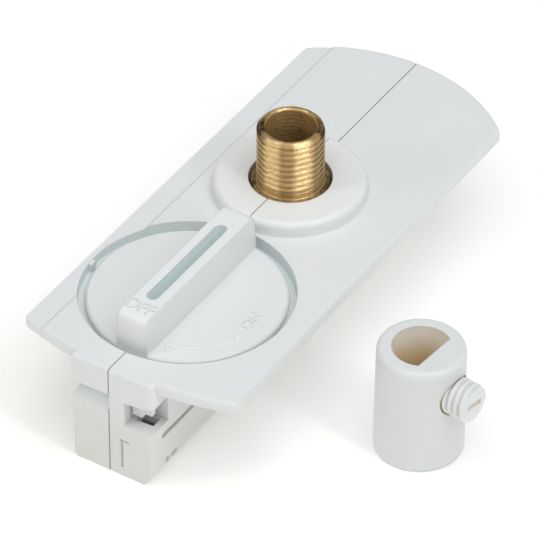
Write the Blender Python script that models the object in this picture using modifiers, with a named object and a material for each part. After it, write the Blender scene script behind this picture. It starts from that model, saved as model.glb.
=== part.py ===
"""Track light adapter with a pendant nipple and a separate cord grip.

Metres, +Z up. The origin lies on the underside of the body, below the axis of the nipple. The
adapter runs along Y: the dial is towards -Y, and the seam between its two moulded halves is x = 0.
Depths are measured down from the top of the plate, heights up from it.
"""
import math

import bmesh
import bpy
from mathutils import Matrix, Vector

MM = 0.001

# Fits
SEAT = 0.3 * MM                # gap between pieces that rest on each other
RUN = 0.2 * MM                 # radial clearance of what turns or slides
SEAM = 0.18 * MM               # gap between the two halves
OVER = 1.0 * MM                # how far a cutter runs past the face it opens

# Body, below the plate
BODY_DEPTH = 18.9 * MM         # underside below the top of the plate
BODY_LEFT = 6.6 * MM
BODY_RIGHT = 7.35 * MM
BODY_FRONT = -47.8 * MM
BODY_BACK = 22.0 * MM
WALL = 1.1 * MM
ROOF = 3.1 * MM                # plate and body together, above the cavity
LEFT_STEP = 0.6 * MM           # how far the lower left side stands back
LEFT_STEP_TOP = 9.6 * MM
LEFT_STEP_FOOT = 11.3 * MM
LEFT_EDGE = 0.6 * MM
RIGHT_EDGE_X = 1.6 * MM        # slope along the right bottom edge
RIGHT_EDGE_Z = 2.3 * MM
CORNER = 0.8 * MM              # rounding of the upright front corners
LAP = 1.6 * MM                 # the left floor laps under the right half by this much
LAP_DEPTH = 1.2 * MM

# Plate
PLATE = 1.8 * MM
PLATE_LEFT = 16.55 * MM
PLATE_RIGHT = 18.95 * MM
PLATE_EDGE = 0.55 * MM
FAR_RADIUS = 27.2 * MM
FAR_CENTRE = 9.1 * MM
NEAR_RADIUS = 60.0 * MM
NEAR_TIP = -47.1 * MM
PLATE_CORNER = 0.9 * MM         # rounding of the plate's corners, seen from above
STRIP = 3.3 * MM               # lowered strip along the left edge
STRIP_STEP = 0.5 * MM
STRIP_SLOPE = 0.6 * MM
LIP = 1.2 * MM                 # tongue behind the seam, on the left half
LIP_TOP = 0.7 * MM

# Boss and nipple
BOSS_RADIUS = 11.35 * MM
BOSS_HEIGHT = 2.4 * MM
BOSS_ROUND = 1.0 * MM
BOSS_FILLET = 0.25 * MM
BOSS_HOLE = 6.2 * MM
BOSS_ROOF = 1.8 * MM
PAD_RADIUS = 9.0 * MM
NIPPLE_RADIUS = 5.0 * MM
NIPPLE_BORE = 3.75 * MM
NIPPLE_HEIGHT = 11.85 * MM
NIPPLE_FOOT = 6.5 * MM
NIPPLE_CHAMFER = 0.45 * MM
COLLAR_RADIUS = 5.85 * MM
COLLAR = 1.4 * MM
NUT_FLATS = 12.0 * MM
NUT_FLOOR = 2.2 * MM           # depth of the pocket that holds the nut

# Dial
DIAL_Y = -27.54 * MM
DIAL_HOLE = 15.75 * MM
PAN_FLOOR = 2.0 * MM
PAN_RADIUS = 16.4 * MM
DISC_RADIUS = 14.55 * MM
DISC_TOP = 0.6 * MM
DISC_BEVEL = 0.35 * MM
BAR_WIDTH = 4.8 * MM
BAR_DRAFT = 0.15 * MM
BAR_HEIGHT = 6.0 * MM
BAR_REACH = 14.5 * MM           # from the axis to the bar's end at its foot
BAR_EDGE = 0.35 * MM
BAR_NOSE = 1.2 * MM
SLOT_WIDTH = 1.85 * MM
SLOT_LENGTH = 19.3 * MM
SLOT_DEPTH = 4.0 * MM
SLOT_SHIFT = 0.05 * MM
STEM_RADIUS = 1.4 * MM
STEM_FOOT = 9.0 * MM
STEM_SCREW = 0.6 * MM
STEM_SCREW_GRIP = 2.5 * MM     # length of screw inside the stem
INDEX_ANGLE = math.radians(185.5)
INDEX_SIZE = 1.1 * MM

# Rotor under the dial
CARRIER_RADIUS = 3.4 * MM
CAM_FLAT = 3.25 * MM
CAM_TOP = 12.8 * MM
CARRIER_HEAD = 1.5 * MM
PLATE_REACH = 10.4 * MM        # locking plate, from the axis to its tip
LOCK_WIDTH = 4.6 * MM
LOCK_TOP = 4.6 * MM
LOCK_THICK = 1.4 * MM
BLADE_REACH = 11.2 * MM
BLADE_WIDTH = 3.6 * MM
BLADE_TOP = 7.6 * MM
BLADE_THICK = 0.4 * MM
LEG_FOOT = 12.4 * MM
LEG_WIDTH = 2.2 * MM
WINDOW_TOP = 3.6 * MM
WINDOW_FOOT = 8.7 * MM
WINDOW_TRAIL = 3.2 * MM        # reach of a window past the axis; the other way the arms set it

# Conductors inside
STRIP_THICK = 0.35 * MM
STRIP_TOP = 9.1 * MM
STRIP_HEIGHT = 1.7 * MM
STRIP_START = -29.3 * MM
TERMINAL_WIDTH = 3.4 * MM
TERMINAL_LENGTH = 6.9 * MM
TERMINAL_TOP = 5.5 * MM
TERMINAL_HEIGHT = 5.4 * MM
TERMINAL_FIRST = 8.6 * MM
TERMINAL_RIB = 0.6 * MM
WIRE_HOLE = 0.9 * MM
TERMINAL_SCREW = 1.0 * MM
TERMINAL_HEAD = 1.45 * MM
TERMINAL_HEAD_HEIGHT = 1.1 * MM
LINK_WIDTH = 4.0 * MM
LINK_THICK = 0.5 * MM
SPRING_THICK = 0.3 * MM
SPRING_HEIGHT = 2.1 * MM
POST = 0.65 * MM

# Screws through the halves: (y, depth)
SCREW_PLACES = ((-44.5 * MM, 14.7 * MM), (-11.6 * MM, 14.3 * MM), (18.4 * MM, 14.3 * MM))
SCREW_SHANK = 1.1 * MM
SCREW_HEAD = 2.0 * MM
SCREW_HEAD_HEIGHT = 1.1 * MM
SCREW_SUNK = 0.75 * MM
SCREW_END = 4.9 * MM
SCREW_BOSS_LEFT = 3.0 * MM
SCREW_BOSS_RIGHT = 2.3 * MM

# Front details
NOTCH_LEFT = 2.65 * MM
NOTCH_TOP = 5.1 * MM
NOTCH_RISE = 0.8 * MM
NOTCH_FOOT = 9.2 * MM
NOTCH_DEEP = 4.05 * MM
WELL_FRONT = 1.9 * MM          # the well in the notch floor, behind the front face
WELL_LENGTH = 1.75 * MM
WELL_SIDE = 0.75 * MM
KEY_FRONT = 1.6 * MM
KEY_THICK = 0.9 * MM
KEY_FOOT = 8.0 * MM
KEY_SHORT_FOOT = 7.0 * MM
KEY_ROOT = 1.2 * MM
SCOOP_TOP = 4.6 * MM
SCOOP_FOOT = 7.9 * MM
SCOOP_DEEP = 1.25 * MM
SCOOP_FLAT = 1.0 * MM
SCOOP_SIDE_LENGTH = 4.0 * MM
SIDE_SLOT_START = 2.35 * MM
SIDE_SLOT_LENGTH = 12.0 * MM
SIDE_SLOT_DEPTH = 10.9 * MM
SIDE_SLOT_WIDTH = 0.85 * MM
SIDE_SLOT_DEEP = 1.2 * MM
SIDE_SLOT_BACK = 0.8 * MM      # plastic left around and behind the slot
GROOVE_X = 2.15 * MM
GROOVE_TOP = 12.2 * MM
GROOVE_FOOT = 17.3 * MM
GROOVE_WIDTH = 0.4 * MM
GROOVE_DEEP = 0.3 * MM
FOOT_NOTCHES = ((3.3 * MM, 0.8 * MM), (4.6 * MM, 1.5 * MM))  # (behind the front, length)
FOOT_NOTCH_HEIGHT = 3.3 * MM
FOOT_NOTCH_DEEP = 0.2 * MM

# Cord grip, standing beside the adapter
GRIP_X = 33.9 * MM
GRIP_Y = -19.0 * MM
GRIP_RADIUS = 6.45 * MM
GRIP_FLARE = 0.15 * MM
GRIP_HEIGHT = 18.25 * MM
GRIP_ROUND = 0.9 * MM
GRIP_BORE = 4.3 * MM
GRIP_FLAT = 2.2 * MM
GRIP_TURN = math.radians(-6.0)
GRIP_SCREW_Z = 12.4 * MM
GRIP_SCREW_RADIUS = 2.85 * MM
GRIP_SCREW_OUT = 3.0 * MM
GRIP_SCREW_RECESS = 0.4 * MM
SCREW_SLOT_WIDTH = 0.55 * MM
SCREW_SLOT_LENGTH = 3.0 * MM
SCREW_SLOT_DEPTH = 0.8 * MM

TOP = BODY_DEPTH
FINE = 96
ROUND = 48
SMALL = 24


def depth(value):
    """The height above the underside of something that lies this deep below the plate's top."""
    return TOP - value


# Scene and groups

def clear_scene():
    for item in list(bpy.data.objects):
        bpy.data.objects.remove(item)


def group(name):
    found = bpy.data.collections.get(name) or bpy.data.collections.new(name)
    if name not in bpy.context.scene.collection.children:
        bpy.context.scene.collection.children.link(found)
    return found


def place(item, name, cutter):
    """Names an object and puts it with the parts, or with the hidden cutters."""
    for owner in list(item.users_collection):
        owner.objects.unlink(item)
    group("cutters" if cutter else "track_light_adapter").objects.link(item)
    item.name = name
    item.data.name = name
    item.hide_render = cutter
    item.display_type = "WIRE" if cutter else "TEXTURED"
    return item


# Forms

def block(name, low, high, cutter=True):
    """A box between two corners, from a cube."""
    bpy.ops.mesh.primitive_cube_add(size=1)
    item = bpy.context.object
    size = [b - a for a, b in zip(low, high)]
    centre = [(a + b) / 2 for a, b in zip(low, high)]
    item.data.transform(Matrix.Translation(centre) @ Matrix.Diagonal((*size, 1)))
    return place(item, name, cutter)


def rod(name, start, end, radius, sides=SMALL, cutter=True, tip=None):
    """A cylinder, or a cone, from one point to another."""
    start, end = Vector(start), Vector(end)
    run = end - start
    bpy.ops.mesh.primitive_cone_add(vertices=sides, radius1=radius, depth=run.length,
                                    radius2=radius if tip is None else tip)
    item = bpy.context.object
    turn = run.to_track_quat("Z", "Y").to_matrix().to_4x4()
    item.data.transform(Matrix.Translation((start + end) / 2) @ turn)
    return place(item, name, cutter)


def slab(name, points, low, high, axis="Z", cutter=True):
    """A flat outline pushed along an axis. Its points are (x, y), (x, z) or (y, z)."""
    curve = bpy.data.curves.new(name, "CURVE")
    curve.dimensions = "2D"
    curve.fill_mode = "BOTH"
    curve.extrude = (high - low) / 2
    spline = curve.splines.new("POLY")
    spline.points.add(len(points) - 1)
    for spot, (u, v) in zip(spline.points, points):
        spot.co = (u, v, 0, 1)
    spline.use_cyclic_u = True
    drawn = bpy.data.objects.new(name + "_outline", curve)
    bpy.context.scene.collection.objects.link(drawn)
    columns = {"Z": ((1, 0, 0), (0, 1, 0), (0, 0, 1)),
               "Y": ((1, 0, 0), (0, 0, 1), (0, -1, 0)),
               "X": ((0, 1, 0), (0, 0, 1), (1, 0, 0))}[axis]
    turn = Matrix(columns).transposed().to_4x4()
    shift = {"Z": (0, 0, 1), "Y": (0, 1, 0), "X": (1, 0, 0)}[axis]
    drawn.matrix_world = Matrix.Translation(Vector(shift) * (low + high) / 2) @ turn
    bpy.context.view_layer.update()
    mesh = bpy.data.meshes.new_from_object(drawn.evaluated_get(bpy.context.evaluated_depsgraph_get()))
    mesh.transform(drawn.matrix_world)
    bpy.data.objects.remove(drawn)
    welded = bmesh.new()
    welded.from_mesh(mesh)
    bmesh.ops.remove_doubles(welded, verts=welded.verts, dist=1e-7)
    bmesh.ops.recalc_face_normals(welded, faces=welded.faces)
    welded.to_mesh(mesh)
    welded.free()
    return place(bpy.data.objects.new(name, mesh), name, cutter)


def turned(name, profile, centre=(0, 0, 0), steps=ROUND, cutter=True):
    """A closed turned form about the upright line through centre, from (radius, z) points that
    run down its outer side."""
    mesh = bpy.data.meshes.new(name)
    edges = [(i, i + 1) for i in range(len(profile) - 1)]
    mesh.from_pydata([(r, 0, z) for r, z in profile], edges, [])
    item = place(bpy.data.objects.new(name, mesh), name, cutter)
    item.location = centre
    screw = item.modifiers.new("turn", "SCREW")
    screw.steps = screw.render_steps = steps
    screw.use_merge_vertices = True
    screw.merge_threshold = 1e-6
    return item


def arc(centre, radius, start, end, count):
    """Points along an arc, both ends included, angles in radians."""
    span = [start + (end - start) * i / (count - 1) for i in range(count)]
    return [(centre[0] + radius * math.cos(a), centre[1] + radius * math.sin(a)) for a in span]


def change(item, tool, operation="DIFFERENCE"):
    step = item.modifiers.new(tool.name, "BOOLEAN")
    step.operation = operation
    step.solver = "EXACT"
    step.object = tool
    return item


def cut(item, *tools):
    for tool in tools:
        change(item, tool)
    return item


def join(item, *tools):
    for tool in tools:
        change(item, tool, "UNION")
    return item


def round_edges(item, wanted, width, segments=3):
    """Rounds the edges whose middle passes a test."""
    mesh = bmesh.new()
    mesh.from_mesh(item.data)
    sharp = [e for e in mesh.edges if e.calc_face_angle() > 0.5
             and wanted((e.verts[0].co + e.verts[1].co) / 2)]
    bmesh.ops.bevel(mesh, geom=sharp, offset=width, segments=segments, profile=0.5, affect="EDGES")
    mesh.to_mesh(item.data)
    mesh.free()
    return item


def finish(item, colour, roughness, metallic=0.0, smooth=True):
    """Gives a part its own material and its shading."""
    material = bpy.data.materials.new(item.name)
    material.use_nodes = True
    shader = material.node_tree.nodes["Principled BSDF"]
    shader.inputs["Base Color"].default_value = (*colour, 1)
    shader.inputs["Roughness"].default_value = roughness
    shader.inputs["Metallic"].default_value = metallic
    item.data.materials.clear()
    item.data.materials.append(material)
    if smooth:
        item.data.shade_smooth()
        if not item.modifiers or item.modifiers[0].type != "SCREW":
            item.data.set_sharp_from_angle(angle=math.radians(35))
    return item


def white(item, roughness=0.45):
    return finish(item, (0.75, 0.77, 0.78), roughness)


def brass(item):
    return finish(item, (0.62, 0.42, 0.17), 0.3, 1.0)


def steel(item):
    return finish(item, (0.6, 0.6, 0.6), 0.35, 1.0)


def hang(item, parent):
    """Parents a part to an empty and keeps it where it is."""
    item.parent = parent
    item.matrix_parent_inverse = parent.matrix_world.inverted()
    return item


# Housing

def rounded_corner(before, corner, after, radius, count=5):
    """Points on the arc that rounds one corner of an outline."""
    first, second = (Vector(point) - Vector(corner) for point in (before, after))
    half = first.angle(second) / 2
    middle = Vector(corner) + (first.normalized() + second.normalized()).normalized() * radius / math.sin(half)
    start = Vector(corner) + first.normalized() * radius / math.tan(half) - middle
    end = Vector(corner) + second.normalized() * radius / math.tan(half) - middle
    turn = start.angle_signed(end)
    return [tuple(middle + Matrix.Rotation(-turn * i / (count - 1), 2) @ start) for i in range(count)]


def plate_outline():
    """The plate seen from above: a far arc, straight sides, a slightly curved near end and rounded
    corners."""
    middle = (PLATE_RIGHT - PLATE_LEFT) / 2
    half = (PLATE_RIGHT + PLATE_LEFT) / 2
    start = math.acos(PLATE_RIGHT / FAR_RADIUS)
    end = math.pi - math.acos(PLATE_LEFT / FAR_RADIUS)
    turn = math.asin(half / NEAR_RADIUS)
    far = arc((0, FAR_CENTRE), FAR_RADIUS, start, end, 33)
    near = arc((middle, NEAR_TIP + NEAR_RADIUS), NEAR_RADIUS, 1.5 * math.pi - turn,
               1.5 * math.pi + turn, 17)
    return (rounded_corner(near[-1], far[0], far[1], PLATE_CORNER) + far[1:-1]
            + rounded_corner(far[-2], far[-1], near[0], PLATE_CORNER)
            + rounded_corner(far[-1], near[0], near[1], PLATE_CORNER) + near[1:-1]
            + rounded_corner(near[-2], near[-1], far[0], PLATE_CORNER))


def body_outline():
    """The body seen from above, with rounded front corners."""
    right = arc((BODY_RIGHT - CORNER, BODY_FRONT + CORNER), CORNER, 1.5 * math.pi, 2 * math.pi, 5)
    left = arc((CORNER - BODY_LEFT, BODY_FRONT + CORNER), CORNER, math.pi, 1.5 * math.pi, 5)
    return left + right + [(BODY_RIGHT, BODY_BACK), (-BODY_LEFT, BODY_BACK)]


def body_edges():
    """What is taken off the body's long edges: the left step and the two bottom edges."""
    near, far = BODY_FRONT - OVER, BODY_BACK + OVER
    lower_left = BODY_LEFT - LEFT_STEP
    left = [(-BODY_LEFT - OVER, depth(LEFT_STEP_TOP)), (-BODY_LEFT, depth(LEFT_STEP_TOP)),
            (-lower_left, depth(LEFT_STEP_FOOT)), (-lower_left, LEFT_EDGE),
            (LEFT_EDGE - lower_left, 0), (LEFT_EDGE - lower_left, -OVER), (-BODY_LEFT - OVER, -OVER)]
    slope = RIGHT_EDGE_Z / RIGHT_EDGE_X
    right = [(BODY_RIGHT - RIGHT_EDGE_X - OVER / slope, -OVER), (BODY_RIGHT + OVER, -OVER),
             (BODY_RIGHT + OVER, RIGHT_EDGE_Z + OVER * slope)]
    return [slab("left_edge_cut", left, near, far, "Y"), slab("right_edge_cut", right, near, far, "Y")]


def boss_profile():
    """The boss from the axis over its rounded rim and down its outer side."""
    top = TOP + BOSS_HEIGHT
    foot = BOSS_RADIUS + BOSS_FILLET
    rim = arc((BOSS_RADIUS - BOSS_ROUND, top - BOSS_ROUND), BOSS_ROUND, math.pi / 2, 0, 6)
    fillet = arc((foot, TOP + BOSS_FILLET), BOSS_FILLET, math.pi, 1.5 * math.pi, 4)
    base = depth(PLATE / 2)
    return [(0, top), *rim, *fillet, (foot, base), (0, base)]


def cavity_section():
    """The hollow of the body, as (x, z), with the slope of the right bottom edge."""
    left, right = -left_inside(), BODY_RIGHT - WALL
    return [(-left, depth(ROOF)), (-left, WALL), (right - RIGHT_EDGE_X, WALL),
            (right, WALL + RIGHT_EDGE_Z), (right, depth(ROOF))]


def housing_blank():
    """Both halves in one, solid inside."""
    plate = slab("plate_form", plate_outline(), depth(PLATE), TOP)
    body = slab("body_form", body_outline(), 0, TOP)
    for form in (plate, body):
        round_edges(form, lambda middle: middle.z > TOP - 1e-6, PLATE_EDGE)
    cut(body, *body_edges())
    pan = rod("pan_form", (0, DIAL_Y, depth(ROOF)), (0, DIAL_Y, depth(PLATE / 2)), PAN_RADIUS, FINE)
    pad = rod("pad_form", (0, 0, depth(ROOF)), (0, 0, depth(PLATE / 2)), PAD_RADIUS, ROUND)
    boss = turned("boss_form", boss_profile(), steps=FINE)
    join(plate, body, pan, pad, boss)
    return plate


def edge_strip():
    """Cuts the lowered strip along the left edge, down a short slope."""
    inner = -PLATE_LEFT + STRIP
    low = TOP - STRIP_STEP
    return slab("edge_strip_cut", [(-PLATE_LEFT - OVER, low), (inner, low), (inner + STRIP_SLOPE, TOP),
                                   (inner + STRIP_SLOPE, TOP + OVER), (-PLATE_LEFT - OVER, TOP + OVER)],
                BODY_FRONT - OVER, FAR_CENTRE + FAR_RADIUS + OVER, "Y")


def hexagon(flats):
    corner = flats / 2 / math.cos(math.pi / 6)
    return [(corner * math.cos(math.pi / 3 * i), corner * math.sin(math.pi / 3 * i)) for i in range(6)]


def screw_bosses(side):
    """The posts that the housing screws run through, in the left half (-1) or the right (1)."""
    wall = BODY_LEFT - LEFT_STEP - WALL / 2 if side < 0 else BODY_RIGHT - WALL / 2
    radius = SCREW_BOSS_LEFT if side < 0 else SCREW_BOSS_RIGHT
    return [rod(f"screw_boss_{'left' if side < 0 else 'right'}_{i}", (side * SEAM / 2, y, depth(d)),
                (side * wall, y, depth(d)), radius)
            for i, (y, d) in enumerate(SCREW_PLACES, 1)]


def half_space(name, side):
    """Everything on one side of the seam."""
    near, far = sorted((side * SEAM / 2, side * (PLATE_RIGHT + OVER)))
    return block(name, (near, BODY_FRONT - OVER, -OVER),
                 (far, FAR_CENTRE + FAR_RADIUS + OVER, TOP + BOSS_HEIGHT + OVER), cutter=False)


def floor_lap(name, room, below):
    """The tongue on which the left floor laps under the right half, with room all round for the
    rebate that takes it."""
    return block(name, (-LAP, BODY_FRONT + 2 * WALL - room, -below),
                 (LAP + room, BODY_BACK - 2 * WALL + room, LAP_DEPTH - SEAM + room))


def left_inside():
    """The inner face of the left wall."""
    return LEFT_STEP + WALL - BODY_LEFT


def cavity():
    """The hollow inside, lower at the front where the notch takes the room above."""
    hollow = slab("cavity_cut", cavity_section(), BODY_FRONT + WALL, BODY_BACK - WALL, "Y")
    shelf = block("front_shelf", (-PLATE_LEFT, BODY_FRONT, depth(NOTCH_FOOT + WALL)),
                  (PLATE_RIGHT, BODY_FRONT + NOTCH_DEEP + WALL, TOP))
    return cut(hollow, shelf)


def opening_tools():
    """Dial pan, stem hole, nipple hole, nut pocket and the index block left in the ring."""
    pan = rod("dial_pan_cut", (0, DIAL_Y, depth(PAN_FLOOR)), (0, DIAL_Y, TOP + OVER + BOSS_HEIGHT),
              DIAL_HOLE, FINE)
    angle = INDEX_ANGLE
    out = Vector((math.cos(angle), math.sin(angle), 0))
    centre = Vector((0, DIAL_Y, 0)) + out * DIAL_HOLE
    half = INDEX_SIZE / 2
    index = block("index_form", (-half, -half, depth(PAN_FLOOR + SEAT)), (half, half, depth(DISC_TOP)))
    index.data.transform(Matrix.Translation(centre) @ Matrix.Rotation(angle, 4, "Z"))
    cut(pan, index)
    stem = rod("stem_hole_cut", (0, DIAL_Y, depth(ROOF + OVER)), (0, DIAL_Y, TOP),
               CARRIER_RADIUS + RUN, ROUND)
    hole = rod("nipple_hole_cut", (0, 0, depth(NUT_FLOOR / 3)), (0, 0, TOP + BOSS_HEIGHT + OVER), BOSS_HOLE,
               FINE)
    hole.rotation_euler.z = math.pi / FINE
    lower = rod("nipple_foot_cut", (0, 0, depth(NIPPLE_FOOT + OVER)), (0, 0, depth(NUT_FLOOR / 2)),
                NIPPLE_RADIUS + SEAT, ROUND)
    nut = slab("nut_pocket_cut", hexagon(NUT_FLATS + 2 * SEAT), depth(NUT_FLOOR),
               TOP + BOSS_HEIGHT - BOSS_ROOF)
    return [pan, stem, hole, lower, nut]


def left_tools():
    """Windows, front scoop and screw holes of the left half."""
    wall = BODY_LEFT + OVER
    window = block("left_window_cut", (-wall, DIAL_Y - WINDOW_TRAIL, depth(WINDOW_FOOT)),
                   (left_inside() + OVER, DIAL_Y + window_lead(left_inside()), depth(WINDOW_TOP)))
    front = [(BODY_FRONT - OVER, depth(SCOOP_TOP)), (BODY_FRONT + SCOOP_DEEP, depth(SCOOP_TOP + 0.2 * MM)),
             (BODY_FRONT + SCOOP_DEEP, depth(SCOOP_TOP + SCOOP_FLAT)),
             (BODY_FRONT, depth(SCOOP_FOOT)), (BODY_FRONT - OVER, depth(SCOOP_FOOT))]
    scoop = slab("front_scoop_cut", front, -wall, -SEAM / 2, "X")
    side = [(-wall, depth(SCOOP_TOP - 0.4 * MM)), (-BODY_LEFT, depth(SCOOP_TOP - 0.4 * MM)),
            (-BODY_LEFT + SCOOP_DEEP, depth(SCOOP_TOP + 0.2 * MM)),
            (-BODY_LEFT + SCOOP_DEEP, depth(SCOOP_TOP + SCOOP_FLAT)),
            (-BODY_LEFT, depth(SCOOP_FOOT + 0.4 * MM)), (-wall, depth(SCOOP_FOOT + 0.4 * MM))]
    wrap = slab("side_scoop_cut", side, BODY_FRONT - OVER, BODY_FRONT + SCOOP_SIDE_LENGTH, "Y")
    tools = [window, scoop, wrap]
    head = -(BODY_LEFT - SCREW_SUNK) + SCREW_HEAD_HEIGHT + SEAT
    for i, (y, d) in enumerate(SCREW_PLACES, 1):
        tools.append(rod(f"head_hole_cut_{i}", (-wall, y, depth(d)), (head, y, depth(d)), SCREW_HEAD + SEAT))
        tools.append(rod(f"shank_hole_cut_{i}", (-wall, y, depth(d)), (OVER, y, depth(d)), SCREW_SHANK + SEAT))
    return tools


def right_tools():
    """Window, notch with its well, side slot, groove, foot notches and screw holes, right half."""
    wall = BODY_RIGHT + OVER
    inner = BODY_RIGHT - WALL
    window = block("right_window_cut", (inner - OVER, DIAL_Y - window_lead(inner), depth(WINDOW_FOOT)),
                   (wall, DIAL_Y + WINDOW_TRAIL, depth(WINDOW_TOP)))
    notch = slab("notch_cut", [(NOTCH_LEFT, depth(NOTCH_FOOT)), (wall, depth(NOTCH_FOOT - NOTCH_RISE / 2)),
                               (wall, depth(NOTCH_TOP - NOTCH_RISE)), (NOTCH_LEFT, depth(NOTCH_TOP))],
                 BODY_FRONT - OVER, BODY_FRONT + NOTCH_DEEP, "Y")
    well = block("well_cut", (NOTCH_LEFT + WELL_SIDE, BODY_FRONT + WELL_FRONT, depth(NOTCH_FOOT + WALL + OVER)),
                 (inner, BODY_FRONT + WELL_FRONT + WELL_LENGTH, depth(NOTCH_FOOT - OVER)))
    socket = block("key_socket_cut",
                   (NOTCH_LEFT, BODY_FRONT + KEY_FRONT - SEAT, depth(NOTCH_TOP)),
                   (key_right() + SEAT, BODY_FRONT + KEY_FRONT + KEY_THICK + SEAT,
                    depth(NOTCH_TOP - NOTCH_RISE - KEY_ROOT - SEAT)))
    slot = slab("side_slot_cut", side_slot_outline(), BODY_RIGHT - SIDE_SLOT_DEEP, wall, "X")
    groove = block("groove_cut", (GROOVE_X - GROOVE_WIDTH / 2, BODY_FRONT - OVER, depth(GROOVE_FOOT)),
                   (GROOVE_X + GROOVE_WIDTH / 2, BODY_FRONT + GROOVE_DEEP, depth(GROOVE_TOP)))
    bar = block("groove_head_cut",
                (GROOVE_X - GROOVE_WIDTH, BODY_FRONT - OVER, depth(GROOVE_TOP + GROOVE_WIDTH / 2)),
                (GROOVE_X + 3 * GROOVE_WIDTH, BODY_FRONT + GROOVE_DEEP / 2,
                 depth(GROOVE_TOP - GROOVE_WIDTH / 4)))
    tools = [window, notch, well, socket, slot, groove, bar]
    for i, (start, length) in enumerate(FOOT_NOTCHES, 1):
        low = BODY_FRONT + start
        tools.append(block(f"foot_notch_cut_{i}", (BODY_RIGHT - RIGHT_EDGE_X / 2 - FOOT_NOTCH_DEEP, low, -OVER),
                           (wall, low + length, FOOT_NOTCH_HEIGHT)))
    for i, (y, d) in enumerate(SCREW_PLACES, 1):
        tools.append(rod(f"pilot_hole_cut_{i}", (-OVER, y, depth(d)), (SCREW_END + SEAT, y, depth(d)),
                         SCREW_SHANK + SEAT))
    return tools


def side_slot_outline():
    """The long slot with round ends in the right side, as (y, z)."""
    half = SIDE_SLOT_WIDTH / 2
    start = BODY_FRONT + SIDE_SLOT_START + half
    end = start + SIDE_SLOT_LENGTH - SIDE_SLOT_WIDTH
    middle = depth(SIDE_SLOT_DEPTH)
    return (arc((start, middle), half, math.pi / 2, 1.5 * math.pi, 9)
            + arc((end, middle), half, 1.5 * math.pi, 2.5 * math.pi, 9))


def window_lead(inside):
    """How far before the axis the longest arm crosses the inner face of a side wall."""
    return math.sqrt(BLADE_REACH ** 2 - inside ** 2) + SEAT


def left_inner_forms():
    """Screw posts, terminal ribs, spring post and the tongue behind the seam, left half."""
    wall = -(BODY_LEFT - LEFT_STEP - WALL / 2)
    forms = screw_bosses(-1) + [floor_lap("floor_lap", 0, 0)]
    for i in range(2):
        middle = terminal_middle(i) + terminal_pitch() / 2
        forms.append(block(f"terminal_rib_{i + 1}",
                           (wall, middle - TERMINAL_RIB / 2, depth(TERMINAL_TOP + TERMINAL_HEIGHT)),
                           (terminal_left() + TERMINAL_LENGTH / 2, middle + TERMINAL_RIB / 2, depth(TERMINAL_TOP))))
    y = spring_y() - SPRING_THICK - SEAT
    forms.append(block("left_post", (wall, y - POST, WALL / 2), (left_inside() + POST, y, depth(CAM_TOP))))
    lip_end = BODY_FRONT + CORNER
    low, high = depth(PLATE), depth(LIP_TOP + SEAM)
    spans = ((lip_end, DIAL_Y - PAN_RADIUS), (BOSS_RADIUS + OVER, FAR_CENTRE + FAR_RADIUS - PLATE))
    for i, (near, far) in enumerate(spans, 1):
        forms.append(block(f"seam_lip_{i}", (-LIP, near, low), (LIP, far, high)))
    return forms


def right_inner_forms():
    """Screw posts, spring post and the plastic behind the side slot, right half."""
    forms = screw_bosses(1)
    around = SIDE_SLOT_WIDTH / 2 + SIDE_SLOT_BACK
    start = BODY_FRONT + SIDE_SLOT_START
    forms.append(block("slot_backing",
                       (BODY_RIGHT - SIDE_SLOT_DEEP - SIDE_SLOT_BACK, start - SIDE_SLOT_BACK,
                        depth(SIDE_SLOT_DEPTH + around)),
                       (BODY_RIGHT - WALL / 2, start + SIDE_SLOT_LENGTH + SIDE_SLOT_BACK,
                        depth(SIDE_SLOT_DEPTH - around))))
    y = spring_y() - SPRING_THICK - SEAT
    forms.append(block("right_post", (BODY_RIGHT - 2 * WALL, y - POST, WALL + RIGHT_EDGE_Z / 2),
                       (BODY_RIGHT - WALL / 2, y, depth(CAM_TOP))))
    return forms


def seam_rebates():
    """Room in the right half for the tongue behind the seam."""
    low, high = depth(PLATE) - OVER, depth(LIP_TOP)
    near, far = BODY_FRONT + CORNER - SEAM, FAR_CENTRE + FAR_RADIUS - PLATE + SEAM
    roof = depth(PLATE) - SEAM
    return [block("seam_rebate_1", (-OVER, near, roof), (LIP + SEAM, DIAL_Y - PAN_RADIUS + SEAM, high)),
            block("seam_rebate_2", (-OVER, BOSS_RADIUS + OVER - SEAM, roof), (LIP + SEAM, BODY_BACK + SEAM, high)),
            block("seam_rebate_3", (-OVER, BODY_BACK - OVER, low), (LIP + SEAM, far, high))]


def housing():
    """The two moulded halves, cut from one blank by the seam."""
    blank = housing_blank()
    place(blank, "housing_blank", True)
    cut(blank, edge_strip(), cavity(), *opening_tools())
    left = half_space("housing_left", -1)
    change(left, blank, "INTERSECT")
    join(left, *left_inner_forms())
    cut(left, *left_tools())
    right = half_space("housing_right", 1)
    change(right, blank, "INTERSECT")
    join(right, *right_inner_forms())
    cut(right, floor_lap("floor_rebate_cut", SEAM, OVER), *seam_rebates(), *right_tools())
    return [white(left), white(right)]


def key_right():
    return BODY_RIGHT - WALL


def polarity_key():
    """The tongue that shows in the notch, seated in a socket in its roof."""
    left = NOTCH_LEFT + SEAT
    root = depth(NOTCH_TOP - NOTCH_RISE - KEY_ROOT)
    middle = (left + key_right()) / 2
    points = [(left, root), (left, depth(KEY_FOOT)), (middle, depth(KEY_FOOT)),
              (middle + 2 * SEAT, depth(KEY_SHORT_FOOT)), (key_right(), depth(KEY_SHORT_FOOT)),
              (key_right(), root)]
    key = slab("polarity_key", points, BODY_FRONT + KEY_FRONT, BODY_FRONT + KEY_FRONT + KEY_THICK, "Y",
               cutter=False)
    return white(key)


# Nipple

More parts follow.
